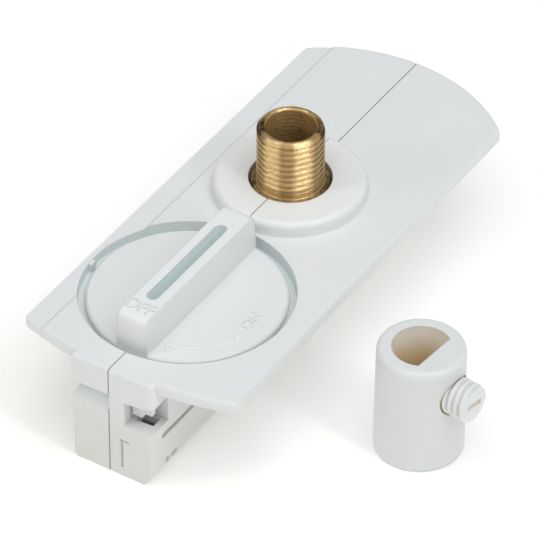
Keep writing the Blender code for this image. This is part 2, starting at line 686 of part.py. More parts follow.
def nipple():
    """Brass tube with a collar that shows in the boss hole and a chamfered top."""
    top, foot = TOP + NIPPLE_HEIGHT, depth(NIPPLE_FOOT)
    collar_top = collar_foot() + COLLAR
    profile = [(NIPPLE_BORE, top - NIPPLE_CHAMFER / 2),
               (NIPPLE_BORE + NIPPLE_CHAMFER / 2, top),
               (NIPPLE_RADIUS - NIPPLE_CHAMFER, top),
               (NIPPLE_RADIUS, top - NIPPLE_CHAMFER),
               (NIPPLE_RADIUS, collar_top),
               (COLLAR_RADIUS, collar_top),
               (COLLAR_RADIUS, collar_foot()),
               (NIPPLE_RADIUS, collar_foot()),
               (NIPPLE_RADIUS, foot),
               (NIPPLE_BORE, foot),
               (NIPPLE_BORE, top - NIPPLE_CHAMFER / 2)]
    return brass(turned("threaded_nipple", profile, cutter=False))


def nut_top():
    return TOP + BOSS_HEIGHT - BOSS_ROOF - SEAT


def collar_foot():
    return nut_top() + SEAT


def nipple_nut():
    """Hexagon nut held in its pocket between the halves."""
    nut = slab("nipple_nut", hexagon(NUT_FLATS), depth(NUT_FLOOR - SEAT), nut_top(), cutter=False)
    hole = rod("nut_hole_cut", (0, 0, 0), (0, 0, TOP + BOSS_HEIGHT), NIPPLE_RADIUS + SEAT, ROUND)
    return brass(cut(nut, hole))


# Dial and rotor

def bar_section(reach, width):
    """The grip bar seen from above: straight sides, and ends that follow the disc."""
    angle = math.asin(width / 2 / reach)
    far = arc((0, 0), reach, math.pi / 2 - angle, math.pi / 2 + angle, 5)
    return far + [(-x, -y) for x, y in far]


def grip_bar():
    """The bar on the dial: a loft from its foot to its top, with a slot and rounded ends."""
    low = bar_section(BAR_REACH, BAR_WIDTH + 2 * BAR_DRAFT)
    high = bar_section(BAR_REACH - 2 * BAR_DRAFT, BAR_WIDTH)
    foot, top = depth(DISC_TOP) - DISC_BEVEL, depth(DISC_TOP) + BAR_HEIGHT
    mesh = bmesh.new()
    rings = [[mesh.verts.new((x, y, z)) for x, y in ring] for ring, z in ((low, foot), (high, top))]
    count = len(low)
    for i in range(count):
        j = (i + 1) % count
        mesh.faces.new((rings[0][i], rings[0][j], rings[1][j], rings[1][i]))
    mesh.faces.new(list(reversed(rings[0])))
    mesh.faces.new(rings[1])
    bmesh.ops.recalc_face_normals(mesh, faces=mesh.faces)
    data = bpy.data.meshes.new("grip_bar_form")
    mesh.to_mesh(data)
    mesh.free()
    bar = place(bpy.data.objects.new("grip_bar_form", data), "grip_bar_form", True)
    round_edges(bar, lambda middle: middle.z > top - 1e-6 and abs(middle.y) > BAR_REACH / 2, BAR_NOSE, 5)
    round_edges(bar, lambda middle: middle.z > top - 1e-6, BAR_EDGE, 3)
    half = SLOT_LENGTH / 2 - SLOT_WIDTH / 2
    ends = (arc((0, SLOT_SHIFT + half), SLOT_WIDTH / 2, 0, math.pi, 9)
            + arc((0, SLOT_SHIFT - half), SLOT_WIDTH / 2, math.pi, 2 * math.pi, 9))
    slot = slab("bar_slot_cut", ends, top - SLOT_DEPTH, top + OVER)
    cut(bar, slot)
    bar.location.y = slot.location.y = DIAL_Y
    return bar


def dial(pivot):
    """Disc with a bevelled rim, grip bar on top and stem below, in one moulding."""
    top, foot = depth(DISC_TOP), depth(PAN_FLOOR) + SEAT
    profile = [(0, top), (DISC_RADIUS - DISC_BEVEL, top), (DISC_RADIUS, top - DISC_BEVEL),
               (DISC_RADIUS, foot), (STEM_RADIUS, foot), (STEM_RADIUS, depth(STEM_FOOT)),
               (0, depth(STEM_FOOT))]
    disc = turned("dial", profile, (0, DIAL_Y, 0), FINE, cutter=False)
    join(disc, grip_bar())
    pilot = rod("stem_pilot_cut", (0, DIAL_Y, depth(STEM_FOOT + OVER)),
                (0, DIAL_Y, depth(STEM_FOOT) + STEM_SCREW_GRIP + SEAT), STEM_SCREW + SEAT)
    cut(disc, pilot)
    return hang(white(disc), pivot)


def carrier_foot():
    return WALL + SEAT


def contact_carrier(pivot):
    """Round carrier under the dial, slotted for the plate and blades, square at its cam."""
    at = (0, DIAL_Y)
    carrier = rod("contact_carrier", (*at, carrier_foot()), (*at, depth(PAN_FLOOR + SEAT + RUN)),
                  CARRIER_RADIUS, ROUND, cutter=False)
    reach = CARRIER_RADIUS + OVER
    sides = [block(f"cam_flat_cut_{name}", (x1, DIAL_Y + y1, 0), (x2, DIAL_Y + y2, depth(CAM_TOP)))
             for name, x1, y1, x2, y2 in (("right", CAM_FLAT, -reach, reach, reach),
                                          ("left", -reach, -reach, -CAM_FLAT, reach),
                                          ("far", -reach, CAM_FLAT, reach, reach),
                                          ("near", -reach, -reach, reach, -CAM_FLAT))]
    bore = rod("carrier_bore_cut", (*at, depth(STEM_FOOT + SEAT)), (*at, TOP), STEM_RADIUS + SEAT, SMALL)
    wide = LOCK_WIDTH / 2 + SEAT
    lock = block("lock_slot_cut", (-wide, DIAL_Y - CARRIER_RADIUS - OVER, depth(LOCK_TOP + LOCK_THICK + SEAT)),
                 (wide, DIAL_Y + CARRIER_RADIUS + OVER, depth(LOCK_TOP - SEAT)))
    wide = BLADE_WIDTH / 2 + SEAT
    slots = [block(f"blade_slot_cut_{name}",
                   (-wide, DIAL_Y + low, depth(BLADE_TOP + BLADE_THICK + SEAT)),
                   (wide, DIAL_Y + high, depth(BLADE_TOP - SEAT)))
             for name, low, high in (("live", -CARRIER_RADIUS - OVER, -blade_root() + SEAT),
                                     ("neutral", blade_root() - SEAT, CARRIER_RADIUS + OVER))]
    head = rod("carrier_head_cut", (*at, 0), (*at, carrier_foot() + CARRIER_HEAD + SEAT), SCREW_HEAD + SEAT)
    shank = rod("carrier_shank_cut", (*at, 0), (*at, depth(STEM_FOOT)), STEM_SCREW + SEAT)
    cut(carrier, *sides, bore, lock, *slots, head, shank)
    return hang(white(carrier, 0.5), pivot)


def carrier_screw(pivot):
    """Screw that pulls the carrier up onto the dial's stem."""
    foot = carrier_foot()
    under = foot + CARRIER_HEAD
    end = depth(STEM_FOOT) + STEM_SCREW_GRIP
    profile = [(0, end), (STEM_SCREW, end), (STEM_SCREW, under), (SCREW_HEAD, under),
               (SCREW_HEAD, foot), (0, foot)]
    return hang(steel(turned("carrier_screw", profile, (0, DIAL_Y, 0), SMALL, cutter=False)), pivot)


def locking_plate(pivot):
    """Steel plate whose two round-ended arms swing out under the lips of the track."""
    half = LOCK_WIDTH / 2
    reach = PLATE_REACH - half
    ends = (arc((0, DIAL_Y + reach), half, 0, math.pi, 9)
            + arc((0, DIAL_Y - reach), half, math.pi, 2 * math.pi, 9))
    plate = slab("locking_plate", ends, depth(LOCK_TOP + LOCK_THICK), depth(LOCK_TOP), cutter=False)
    hole = rod("lock_hole_cut", (0, DIAL_Y, 0), (0, DIAL_Y, TOP), STEM_RADIUS + SEAT, SMALL)
    return hang(steel(cut(plate, hole)), pivot)


def blade_root():
    return STEM_RADIUS + 3 * SEAT


def leg_outer():
    """How far from the axis the blades' legs reach."""
    return CARRIER_RADIUS + RUN + BLADE_THICK


def blade(name, side, pivot):
    """A brass arm that swings out to the track, with a leg down the carrier's side."""
    half = BLADE_WIDTH / 2
    tip = arc((0, BLADE_REACH - half), half, 0, math.pi, 9)
    points = [(half, blade_root()), *tip, (-half, blade_root())]
    outline = [(side * x, DIAL_Y + side * y) for x, y in points]
    arm = slab(name, outline, depth(BLADE_TOP + BLADE_THICK), depth(BLADE_TOP), cutter=False)
    y1, y2 = sorted((DIAL_Y + side * (leg_outer() - BLADE_THICK), DIAL_Y + side * leg_outer()))
    leg = block(name + "_leg", (-LEG_WIDTH / 2, y1, depth(LEG_FOOT)),
                (LEG_WIDTH / 2, y2, depth(BLADE_TOP + BLADE_THICK / 2)))
    return hang(brass(join(arm, leg)), pivot)


# Fixed inner pieces

def terminal_pitch():
    return TERMINAL_WIDTH + 2 * SEAT + TERMINAL_RIB


def terminal_middle(i):
    return TERMINAL_FIRST + i * terminal_pitch()


def terminal_left():
    return left_inside() + SEAT


def terminal(name, i):
    """Brass terminal block with a wire hole from above and a screw hole from the right."""
    middle, left = terminal_middle(i), terminal_left()
    right, foot = left + TERMINAL_LENGTH, depth(TERMINAL_TOP + TERMINAL_HEIGHT)
    body = block(name, (left, middle - TERMINAL_WIDTH / 2, foot),
                 (right, middle + TERMINAL_WIDTH / 2, depth(TERMINAL_TOP)), cutter=False)
    round_edges(body, lambda middle: True, WIRE_HOLE / 5, 1)
    wire = rod(name + "_wire_cut", (left + 2 * WIRE_HOLE, middle, 0), (left + 2 * WIRE_HOLE, middle, TOP),
               WIRE_HOLE, 16)
    tapped = rod(name + "_screw_cut", (left + 2 * WIRE_HOLE, middle, terminal_axis()),
                 (right + OVER, middle, terminal_axis()), TERMINAL_SCREW + SEAT / 2, 16)
    return brass(cut(body, wire, tapped))


def terminal_axis():
    return depth(TERMINAL_TOP + TERMINAL_HEIGHT / 2)


def slotted_screw(name, start, end, shank, head, head_height, slot_width):
    """A cheese-head screw along X: start is the outer face of the head, end the shank's tip."""
    side = 1 if end[0] > start[0] else -1
    under = (start[0] + side * head_height, *start[1:])
    screw = rod(name, start, under, head, SMALL, cutter=False)
    stem = rod(name + "_shank", (under[0] - side * head_height / 2, *start[1:]), end, shank, 16)
    slot = block(name + "_slot_cut",
                 (min(start[0], start[0] + side * head_height / 2) - (side > 0) * OVER,
                  start[1] - slot_width / 2, start[2] - head - OVER),
                 (max(start[0], start[0] + side * head_height / 2) + (side < 0) * OVER,
                  start[1] + slot_width / 2, start[2] + head + OVER))
    return steel(cut(join(screw, stem), slot))


def terminal_screws():
    right = terminal_left() + TERMINAL_LENGTH
    made = []
    for i in range(3):
        middle = terminal_middle(i)
        start = (right + SEAT + TERMINAL_HEAD_HEIGHT, middle, terminal_axis())
        end = (terminal_left() + 3.4 * WIRE_HOLE, middle, terminal_axis())
        made.append(slotted_screw(f"terminal_screw_{i + 1}", start, end, TERMINAL_SCREW, TERMINAL_HEAD,
                                  TERMINAL_HEAD_HEIGHT, WIRE_HOLE / 2))
    return made


def housing_screws():
    head = -(BODY_LEFT - SCREW_SUNK)
    return [slotted_screw(f"housing_screw_{i}", (head, y, depth(d)), (SCREW_END, y, depth(d)), SCREW_SHANK,
                          SCREW_HEAD, SCREW_HEAD_HEIGHT, SCREW_SLOT_WIDTH)
            for i, (y, d) in enumerate(SCREW_PLACES, 1)]


def conductor_strips():
    """Brass strips from the blades' legs back to the neutral and live terminals."""
    low, high = depth(STRIP_TOP + STRIP_HEIGHT), depth(STRIP_TOP)
    inner = leg_outer() + RUN
    outer = inner + STRIP_THICK
    first, second = (terminal_middle(i) - TERMINAL_WIDTH / 2 for i in (0, 1))
    neutral = block("neutral_strip", (-outer, STRIP_START, low), (-inner, first - SEAT, high), cutter=False)
    live = block("live_strip", (inner, STRIP_START, low), (outer, second + TERMINAL_WIDTH, high), cutter=False)
    under_head = terminal_axis() - TERMINAL_HEAD - SEAT
    tab = block("live_tab", (terminal_left() + TERMINAL_LENGTH + SEAT, second, low),
                (outer, second + TERMINAL_WIDTH, min(under_head, low + STRIP_HEIGHT / 2)))
    return [brass(neutral), brass(join(live, tab))]


def earth_link():
    """Brass strip under the roof, from the nipple to the earth terminal."""
    high = depth(ROOF + SEAT)
    low = high - LINK_THICK
    half = LINK_WIDTH / 2
    middle = terminal_middle(2)
    strip = block("earth_link", (-half, NIPPLE_RADIUS + SEAT, low), (half, middle + half / 2, high),
                  cutter=False)
    tab = block("earth_tab", (half / 2, middle - half / 2, depth(TERMINAL_TOP) + SEAT),
                (half, middle + half / 2, high - LINK_THICK / 2))
    curve = rod("link_curve_cut", (0, 0, 0), (0, 0, TOP), NIPPLE_RADIUS + 1.2 * SEAT, ROUND)
    return brass(cut(join(strip, tab), curve))


def spring_y():
    return DIAL_Y - CARRIER_RADIUS - 0.25 * MM


def detent_spring():
    """Leaf that bears on the carrier's cam and holds the dial in its two places."""
    high = depth(CAM_TOP + SEAT)
    leaf = block("detent_spring", (left_inside() + SEAT, spring_y() - SPRING_THICK,
                                   high - SPRING_HEIGHT),
                 (BODY_RIGHT - WALL - SEAT, spring_y(), high), cutter=False)
    return steel(leaf)


# Cord grip

def cord_grip():
    """Round-topped sleeve with a D-shaped bore and a tapped hole in its flat side."""
    wide = GRIP_RADIUS + GRIP_FLARE
    rim = arc((GRIP_RADIUS - GRIP_ROUND, GRIP_HEIGHT - GRIP_ROUND), GRIP_ROUND, math.pi / 2, 0, 7)
    profile = [(0, GRIP_HEIGHT), *rim, (wide, SEAT), (wide - SEAT, 0), (0, 0)]
    grip = turned("cord_grip", profile, (GRIP_X, GRIP_Y, 0), FINE, cutter=False)
    angle = math.acos(GRIP_FLAT / GRIP_BORE)
    bore = slab("grip_bore_cut", arc((0, 0), GRIP_BORE, angle, 2 * math.pi - angle, 49), -OVER,
                GRIP_HEIGHT + OVER)
    hole = rod("grip_hole_cut", (0, 0, GRIP_SCREW_Z), (wide + OVER, 0, GRIP_SCREW_Z),
               GRIP_SCREW_RADIUS + RUN, ROUND)
    for tool in (bore, hole):
        tool.location = (GRIP_X, GRIP_Y, 0)
        tool.rotation_euler.z = GRIP_TURN
    return white(cut(grip, bore, hole))


def grip_screw():
    """Clamping screw of the cord grip, with a short slot in its end."""
    start = GRIP_FLAT + GRIP_SCREW_RECESS
    end = GRIP_RADIUS + GRIP_SCREW_OUT
    axis = bpy.data.objects.new("grip_screw_axis", None)
    group("track_light_adapter").objects.link(axis)
    axis.location = (GRIP_X, GRIP_Y, GRIP_SCREW_Z)
    axis.rotation_euler.z = GRIP_TURN
    screw = rod("grip_screw", (start, 0, 0), (end, 0, 0), GRIP_SCREW_RADIUS, ROUND, cutter=False)
    slot = block("grip_slot_cut", (end - SCREW_SLOT_DEPTH, -SCREW_SLOT_LENGTH / 2, -SCREW_SLOT_WIDTH / 2),
                 (end + OVER, SCREW_SLOT_LENGTH / 2, SCREW_SLOT_WIDTH / 2))
    screw.parent = slot.parent = axis
    return white(cut(screw, slot))


def dial_pivot():
    pivot = bpy.data.objects.new("dial_axis", None)
    group("track_light_adapter").objects.link(pivot)
    pivot.location = (0, DIAL_Y, 0)
    bpy.context.view_layer.update()
    return pivot


def main():
    clear_scene()
    housing()
    polarity_key()
    nipple()
    nipple_nut()
    pivot = dial_pivot()
    dial(pivot)
    contact_carrier(pivot)
    carrier_screw(pivot)
    locking_plate(pivot)
    blade("live_blade", -1, pivot)
    blade("neutral_blade", 1, pivot)
    for i, name in enumerate(("neutral_terminal", "live_terminal", "earth_terminal")):
        terminal(name, i)
    terminal_screws()
    housing_screws()
    conductor_strips()
    earth_link()
    detent_spring()
    cord_grip()
    grip_screw()


main()
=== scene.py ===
"""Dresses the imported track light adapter: finishes, threads, letters, light and camera."""

import math

import bmesh
import bpy
from mathutils import Matrix, Vector, noise


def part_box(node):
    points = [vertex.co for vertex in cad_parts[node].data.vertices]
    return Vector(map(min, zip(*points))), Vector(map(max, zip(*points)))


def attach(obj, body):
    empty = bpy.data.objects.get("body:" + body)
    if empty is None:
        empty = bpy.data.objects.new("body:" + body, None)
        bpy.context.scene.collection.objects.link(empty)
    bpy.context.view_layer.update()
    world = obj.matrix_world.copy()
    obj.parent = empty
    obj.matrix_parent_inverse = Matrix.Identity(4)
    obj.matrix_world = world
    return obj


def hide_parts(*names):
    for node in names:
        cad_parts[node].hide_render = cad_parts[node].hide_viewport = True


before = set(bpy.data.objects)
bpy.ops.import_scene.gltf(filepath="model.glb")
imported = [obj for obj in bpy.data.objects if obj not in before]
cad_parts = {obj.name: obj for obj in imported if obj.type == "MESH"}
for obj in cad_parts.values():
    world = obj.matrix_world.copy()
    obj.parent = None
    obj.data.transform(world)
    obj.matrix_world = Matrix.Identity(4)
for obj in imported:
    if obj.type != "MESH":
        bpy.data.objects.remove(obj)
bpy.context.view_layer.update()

bl_info = {
    "name": "Track light adapter dressing",
    "version": (1, 0, 0),
    "blender": (4, 5, 0),
    "location": "3D View > Sidebar > Adapter",
    "description": "Gives the track light adapter its finishes, threads, letters, light and camera",
    "category": "Object",
}

MM = 0.001
NIPPLE_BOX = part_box("threaded_nipple")

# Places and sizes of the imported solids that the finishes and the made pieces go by
PLATE_TOP = 18.9 * MM
PAN_FLOOR = 16.9 * MM
PAN_RADIUS = 16.4 * MM
BODY_FRONT = -47.8 * MM
SCOOP_BACK = -46.55 * MM
SCOOP_FOOT = 11.0 * MM
SCOOP_TOP = 14.3 * MM
DIAL_AXIS = Vector((0.0, -27.54 * MM, 0.0))
DISC_TOP = 18.3 * MM
BAR_TOP = 24.3 * MM
NIPPLE_RADIUS = 5.0 * MM
NIPPLE_BORE = 3.75 * MM
COLLAR_FOOT = 19.5 * MM
COLLAR_TOP = 20.9 * MM
GRIP_AXIS = Vector((33.9 * MM, -19.0 * MM, 0.0))
GRIP_TURN = math.radians(-6.0)
GRIP_BORE = 4.3 * MM
GRIP_TOP = 18.25 * MM
SCREW_LEVEL = 12.4 * MM
SCREW_START = 2.6 * MM
SCREW_END = 9.45 * MM

# What only this script uses
UP = Vector((0.0, 0.0, 1.0))
SCREW_RADIUS = 2.92 * MM  # to the crests of the grip screw's thread
TURN_STEPS = 12           # rows of points along one turn of a thread
MARK_SINK = 0.05 * MM     # how far a mark reaches into the plastic under it
SENSOR_WIDTH = 36.0       # of the camera, in millimetres
LIT_PLACE = Vector((5.0 * MM, -12.0 * MM, 10.0 * MM))  # what the lights face


# What a user would change

class AdapterSizes(bpy.types.PropertyGroup):
    """Sizes of the small forms that are made here."""

    nipple_pitch: bpy.props.FloatProperty(
        name="Nipple pitch", description="Height of one turn of the brass thread",
        default=1.0 * MM, min=0.5 * MM, max=2.0 * MM, precision=5, unit="LENGTH")
    nipple_depth: bpy.props.FloatProperty(
        name="Nipple thread depth", description="From the crest to the root of the brass thread",
        default=0.34 * MM, min=0.1 * MM, max=0.8 * MM, precision=5, unit="LENGTH")
    screw_pitch: bpy.props.FloatProperty(
        name="Grip screw pitch", description="Length of one turn of the plastic thread",
        default=1.0 * MM, min=0.5 * MM, max=2.0 * MM, precision=5, unit="LENGTH")
    screw_depth: bpy.props.FloatProperty(
        name="Grip screw thread depth",
        description="From the crest to the root of the plastic thread",
        default=0.62 * MM, min=0.1 * MM, max=0.8 * MM, precision=5, unit="LENGTH")
    letter_height: bpy.props.FloatProperty(
        name="Letter height", description="Height of the letters on the grip bar",
        default=2.10 * MM, min=0.5 * MM, max=4.0 * MM, precision=5, unit="LENGTH")
    letter_rise: bpy.props.FloatProperty(
        name="Letter rise", description="How far letters and marks stand above the plastic",
        default=0.24 * MM, min=0.02 * MM, max=0.5 * MM, precision=5, unit="LENGTH")


class AdapterColours(bpy.types.PropertyGroup):
    """Base colours of the finishes, and the tones of painted light and shade."""

    plastic: bpy.props.FloatVectorProperty(
        name="Plastic", description="Cool off-white of the moulded parts",
        default=(0.790, 0.806, 0.808), min=0.0, max=1.0, size=3, subtype="COLOR")
    # Painted light: the bar and the boss are drawn brighter than the plastic round them.
    raised: bpy.props.FloatVectorProperty(
        name="Raised forms", description="Slightly brighter tone of the bar and the boss",
        default=(0.842, 0.858, 0.858), min=0.0, max=1.0, size=3, subtype="COLOR")
    # Painted shade round the dial and in the scoop; brightened, the same tint is painted light in
    # the bar's slot.
    painted_recess_tint: bpy.props.FloatVectorProperty(
        name="Recesses", description="Cooler tone round the dial, in the scoop and in the slot",
        default=(0.75, 0.815, 0.815), min=0.0, max=1.0, size=3, subtype="COLOR")
    # Painted shade: the housing is drawn darker and warmer low down.
    foot: bpy.props.FloatVectorProperty(
        name="Foot of the housing", description="Warmer tone of the housing low down",
        default=(0.745, 0.747, 0.722), min=0.0, max=1.0, size=3, subtype="COLOR")
    # Painted light at the mouth of the cord grip's bore; darkened, it is painted shade in the
    # screw's slot.
    painted_warm_tint: bpy.props.FloatVectorProperty(
        name="Grip mouth", description="Pale warm tone at the mouth of the cord grip's bore",
        default=(1.0, 0.95, 0.86), min=0.0, max=1.0, size=3, subtype="COLOR")
    # Painted shade: warm and darker deep in the cord grip's bore and its screw hole.
    lining: bpy.props.FloatVectorProperty(
        name="Grip lining", description="Warm tone deep inside the cord grip",
        default=(0.80, 0.62, 0.34), min=0.0, max=1.0, size=3, subtype="COLOR")
    carrier: bpy.props.FloatVectorProperty(
        name="Carrier plastic", description="Matte plastic of the contact carrier",
        default=(0.56, 0.57, 0.56), min=0.0, max=1.0, size=3, subtype="COLOR")
    brass: bpy.props.FloatVectorProperty(
        name="Brass", description="Clean turned brass",
        default=(0.76, 0.50, 0.21), min=0.0, max=1.0, size=3, subtype="COLOR")
    # Painted highlight: the bright bands down four sides of the nipple.
    painted_highlight: bpy.props.FloatVectorProperty(
        name="Rubbed brass", description="Brass where handling has brightened it",
        default=(1.0, 0.74, 0.38), min=0.0, max=1.0, size=3, subtype="COLOR")
    # Also the colour of the painted shade on the nipple's two dark sides.
    tarnish: bpy.props.FloatVectorProperty(
        name="Tarnish", description="Brown film in the thread roots and deep in the bore",
        default=(0.13, 0.085, 0.030), min=0.0, max=1.0, size=3, subtype="COLOR")
    zinc: bpy.props.FloatVectorProperty(
        name="Zinc", description="Zinc plating of the steel pieces",
        default=(0.62, 0.64, 0.66), min=0.0, max=1.0, size=3, subtype="COLOR")


class AdapterStage(bpy.types.PropertyGroup):
    """Light, floor and camera."""

    floor_tone: bpy.props.FloatProperty(
        name="Floor tone", description="Brightness of the plain floor",
        default=0.95, min=0.0, max=1.0, subtype="FACTOR")
    surround: bpy.props.FloatProperty(
        name="Surround", description="Strength of the even white surround",
        default=0.32, min=0.0, max=3.0)
    overhead: bpy.props.FloatProperty(
        name="Overhead light", description="Power of the broad light above",
        default=8.5, min=0.0, max=100.0, unit="POWER")
    left: bpy.props.FloatProperty(
        name="Left light", description="Power of the narrow light on the left of the camera",
        default=0.9, min=0.0, max=100.0, unit="POWER")
    right: bpy.props.FloatProperty(
        name="Right light", description="Power of the narrow light on the right of the camera",
        default=1.15, min=0.0, max=100.0, unit="POWER")
    azimuth: bpy.props.FloatProperty(
        name="Camera azimuth", description="Turn of the camera from the front, towards the right",
        default=math.radians(32.24), subtype="ANGLE")
    elevation: bpy.props.FloatProperty(
        name="Camera elevation", description="Height angle of the camera",
        default=math.radians(39.99), subtype="ANGLE")
    roll: bpy.props.FloatProperty(
        name="Camera roll", description="Turn of the picture about its middle",
        default=math.radians(0.32), subtype="ANGLE")
    distance: bpy.props.FloatProperty(
        name="Camera distance", description="From the camera to the point it looks at",
        default=656.19 * MM, min=0.05, precision=5, unit="LENGTH")
    lens: bpy.props.FloatProperty(
        name="Lens", description="Focal length on a 36 mm sensor, in millimetres",
        default=305.1, min=20.0, max=600.0)
    target: bpy.props.FloatVectorProperty(
        name="Camera target", description="The point in the middle of the picture",
        default=(7.42 * MM, -17.22 * MM, 18.9 * MM), size=3, precision=5, subtype="TRANSLATION")


# How a finish is written down

def both_ways(operation):
    """The methods of an operator and of its reflected form. Each call adds one Math node."""
    return (lambda self, other: self.finish.math(operation, self, other),
            lambda self, other: self.finish.math(operation, other, self))


class Value:
    """A number that varies over a surface, and that Python's operators work on."""

    __add__, __radd__ = both_ways("ADD")
    __sub__, __rsub__ = both_ways("SUBTRACT")
    __mul__, __rmul__ = both_ways("MULTIPLY")
    __truediv__, __rtruediv__ = both_ways("DIVIDE")
    __pow__, __rpow__ = both_ways("POWER")

    def __init__(self, finish, socket):
        self.finish = finish
        self.socket = socket

    def rising(self, low, high):
        """0 below low, 1 above high, and smooth between them."""
        node = self.finish.node("ShaderNodeMapRange", {"interpolation_type": "SMOOTHSTEP"},
                                {"Value": self, "From Min": low, "From Max": high})
        return Value(self.finish, node.outputs["Result"])

    def falling(self, low, high):
        """1 below low, 0 above high, and smooth between them."""
        return 1.0 - self.rising(low, high)

    def limited(self, low=0.0, high=1.0):
        node = self.finish.node("ShaderNodeClamp", {}, {"Value": self, "Min": low, "Max": high})
        return Value(self.finish, node.outputs["Result"])


class Finish:
    """One material, written down as a recipe."""

    def __init__(self, name):
        self.material = bpy.data.materials.new(name)
        self.material.use_nodes = True
        self.nodes = self.material.node_tree.nodes
        self.links = self.material.node_tree.links
        self.nodes.clear()
        self.place = self.node("ShaderNodeTexCoord").outputs["Object"]

    def node(self, kind, settings=None, sockets=None):
        """A node of any kind: its settings first, then its sockets' values or links."""
        node = self.nodes.new(kind)
        for key, value in (settings or {}).items():
            setattr(node, key, value)
        for key, value in (sockets or {}).items():
            self.feed(node.inputs[key], value)
        return node

    def feed(self, socket, value):
        """Links a socket to what varies, or sets its own number, colour or vector."""
        if isinstance(value, Value):
            value = value.socket
        if isinstance(value, bpy.types.NodeSocket):
            self.links.new(value, socket)
        elif socket.type == "RGBA":
            socket.default_value = (*value, 1.0)
        else:
            socket.default_value = value

    def math(self, operation, *terms):
        node = self.node("ShaderNodeMath", {"operation": operation}, dict(enumerate(terms)))
        return Value(self, node.outputs[0])

    def vector(self, operation, *terms):
        return self.node("ShaderNodeVectorMath", {"operation": operation}, dict(enumerate(terms)))

    def along(self, origin=None):
        """The three coordinates of the surface, from the frame's own origin or another one."""
        place = self.place
        if origin is not None:
            place = self.vector("SUBTRACT", place, tuple(origin)).outputs["Vector"]
        node = self.node("ShaderNodeSeparateXYZ", {}, {"Vector": place})
        return [Value(self, output) for output in node.outputs]

    def cloud(self, scale, detail, roughness=0.5):
        """Noise about zero, from -1 to 1. scale is one number, or a tuple of one for each axis."""
        place = self.place
        if isinstance(scale, tuple):
            place = self.vector("MULTIPLY", place, scale).outputs["Vector"]
            scale = 1.0
        node = self.node("ShaderNodeTexNoise", {}, {
            "Vector": place, "Scale": scale, "Detail": detail, "Roughness": roughness})
        return Value(self, node.outputs[0]) * 2.0 - 1.0

    def specks(self, scale, radius, share):
        """Round dots, one in some of the cells."""
        cells = self.node("ShaderNodeTexVoronoi", {}, {"Vector": self.place, "Scale": scale})
        tint = self.node("ShaderNodeSeparateColor", {}, {"Color": cells.outputs["Color"]})
        near = Value(self, cells.outputs["Distance"]).falling(radius * 0.5, radius)
        return near * Value(self, tint.outputs[0]).rising(1.0 - share, 1.0 - share + 0.01)

    def mixed(self, factor, first, second):
        """One colour turning into another. A Mix node has its colours in sockets 6 and 7."""
        node = self.node("ShaderNodeMix", {"data_type": "RGBA"}, {0: factor, 6: first, 7: second})
        return node.outputs[2]

    def softened(self, radius):
        """Surface direction with its edges rounded over, and a mask of where the edges are."""
        bevel = self.node("ShaderNodeBevel", {"samples": 6}, {"Radius": radius}).outputs["Normal"]
        flat = self.node("ShaderNodeNewGeometry").outputs["Normal"]
        agreement = Value(self, self.vector("DOT_PRODUCT", bevel, flat).outputs["Value"])
        return bevel, (1.0 - agreement).rising(0.01, 0.22)

    def surface(self, colour, roughness, height, normal, fixed):
        """Closes the recipe with one shader. height is in metres, and fixed holds what is even."""
        relief = {"Strength": 1.0, "Distance": 1.0, "Height": height}
        if normal is not None:
            relief["Normal"] = normal
        bump = self.node("ShaderNodeBump", {}, relief).outputs["Normal"]
        sockets = {"Base Color": colour, "Roughness": roughness, "Normal": bump, **fixed}
        shader = self.node("ShaderNodeBsdfPrincipled", {}, sockets)
        self.node("ShaderNodeOutputMaterial", {}, {"Surface": shader.outputs["BSDF"]})
        return self.material


def shade(colour, factor):
    return tuple(min(1.0, channel * factor) for channel in colour)


# Where painted light and shade go: 1 in the place that is named, and fading to 0 at its edges

def spread(x, y):
    """How far a place lies from an axis, from its two coordinates across that axis."""
    return (x * x + y * y) ** 0.5


def side(x, y, reach, azimuth):
    """1 on the two opposite sides that face an azimuth from the front, 0 a quarter turn away."""
    turn = math.radians(azimuth)
    share = (x * math.sin(turn) - y * math.cos(turn)) / reach
    return share * share


def painted_low_shade(finish):
    """Painted shade on the foot of the housing, fading out below the plate."""
    z = finish.along()[2]
    return z.falling(6.0 * MM, 16.0 * MM)


def painted_boss_light(finish):
    """Painted light on the boss round the nipple, which stands above the plate."""
    z = finish.along()[2]
    return z.rising(PLATE_TOP + 0.05 * MM, PLATE_TOP + 0.4 * MM)


def painted_bar_light(finish):
    """Painted light on the dial's bar, which stands above its disc."""
    z = finish.along()[2]
    return z.rising(DISC_TOP + 0.05 * MM, DISC_TOP + 0.8 * MM)


def painted_dial_shade(finish):
    """Painted shade in the pan round the dial and the scoop of the left front, but not on the walls
    beyond them.
    """
    x, y, z = finish.along()
    reach = spread(x, y - DIAL_AXIS.y)
    gap = (reach.rising(PAN_RADIUS - 1.5 * MM, PAN_RADIUS - 1.3 * MM)
           * reach.falling(PAN_RADIUS + 0.02 * MM, PAN_RADIUS + 0.1 * MM)
           * z.falling(PLATE_TOP - 1.2 * MM, PLATE_TOP - 0.8 * MM)
           * z.rising(PAN_FLOOR - 0.1 * MM, PAN_FLOOR - 0.02 * MM))
    scoop = (x.falling(-0.3 * MM, 0.0)
             * y.rising(BODY_FRONT + 0.2 * MM, BODY_FRONT + 0.9 * MM)
             * y.falling(SCOOP_BACK + 0.15 * MM, SCOOP_BACK + 0.35 * MM)
             * z.rising(SCOOP_FOOT + 0.2 * MM, SCOOP_FOOT + 0.7 * MM)
             * z.falling(SCOOP_TOP - 0.3 * MM, SCOOP_TOP + 0.1 * MM))
    return (gap + 0.8 * scoop).limited()


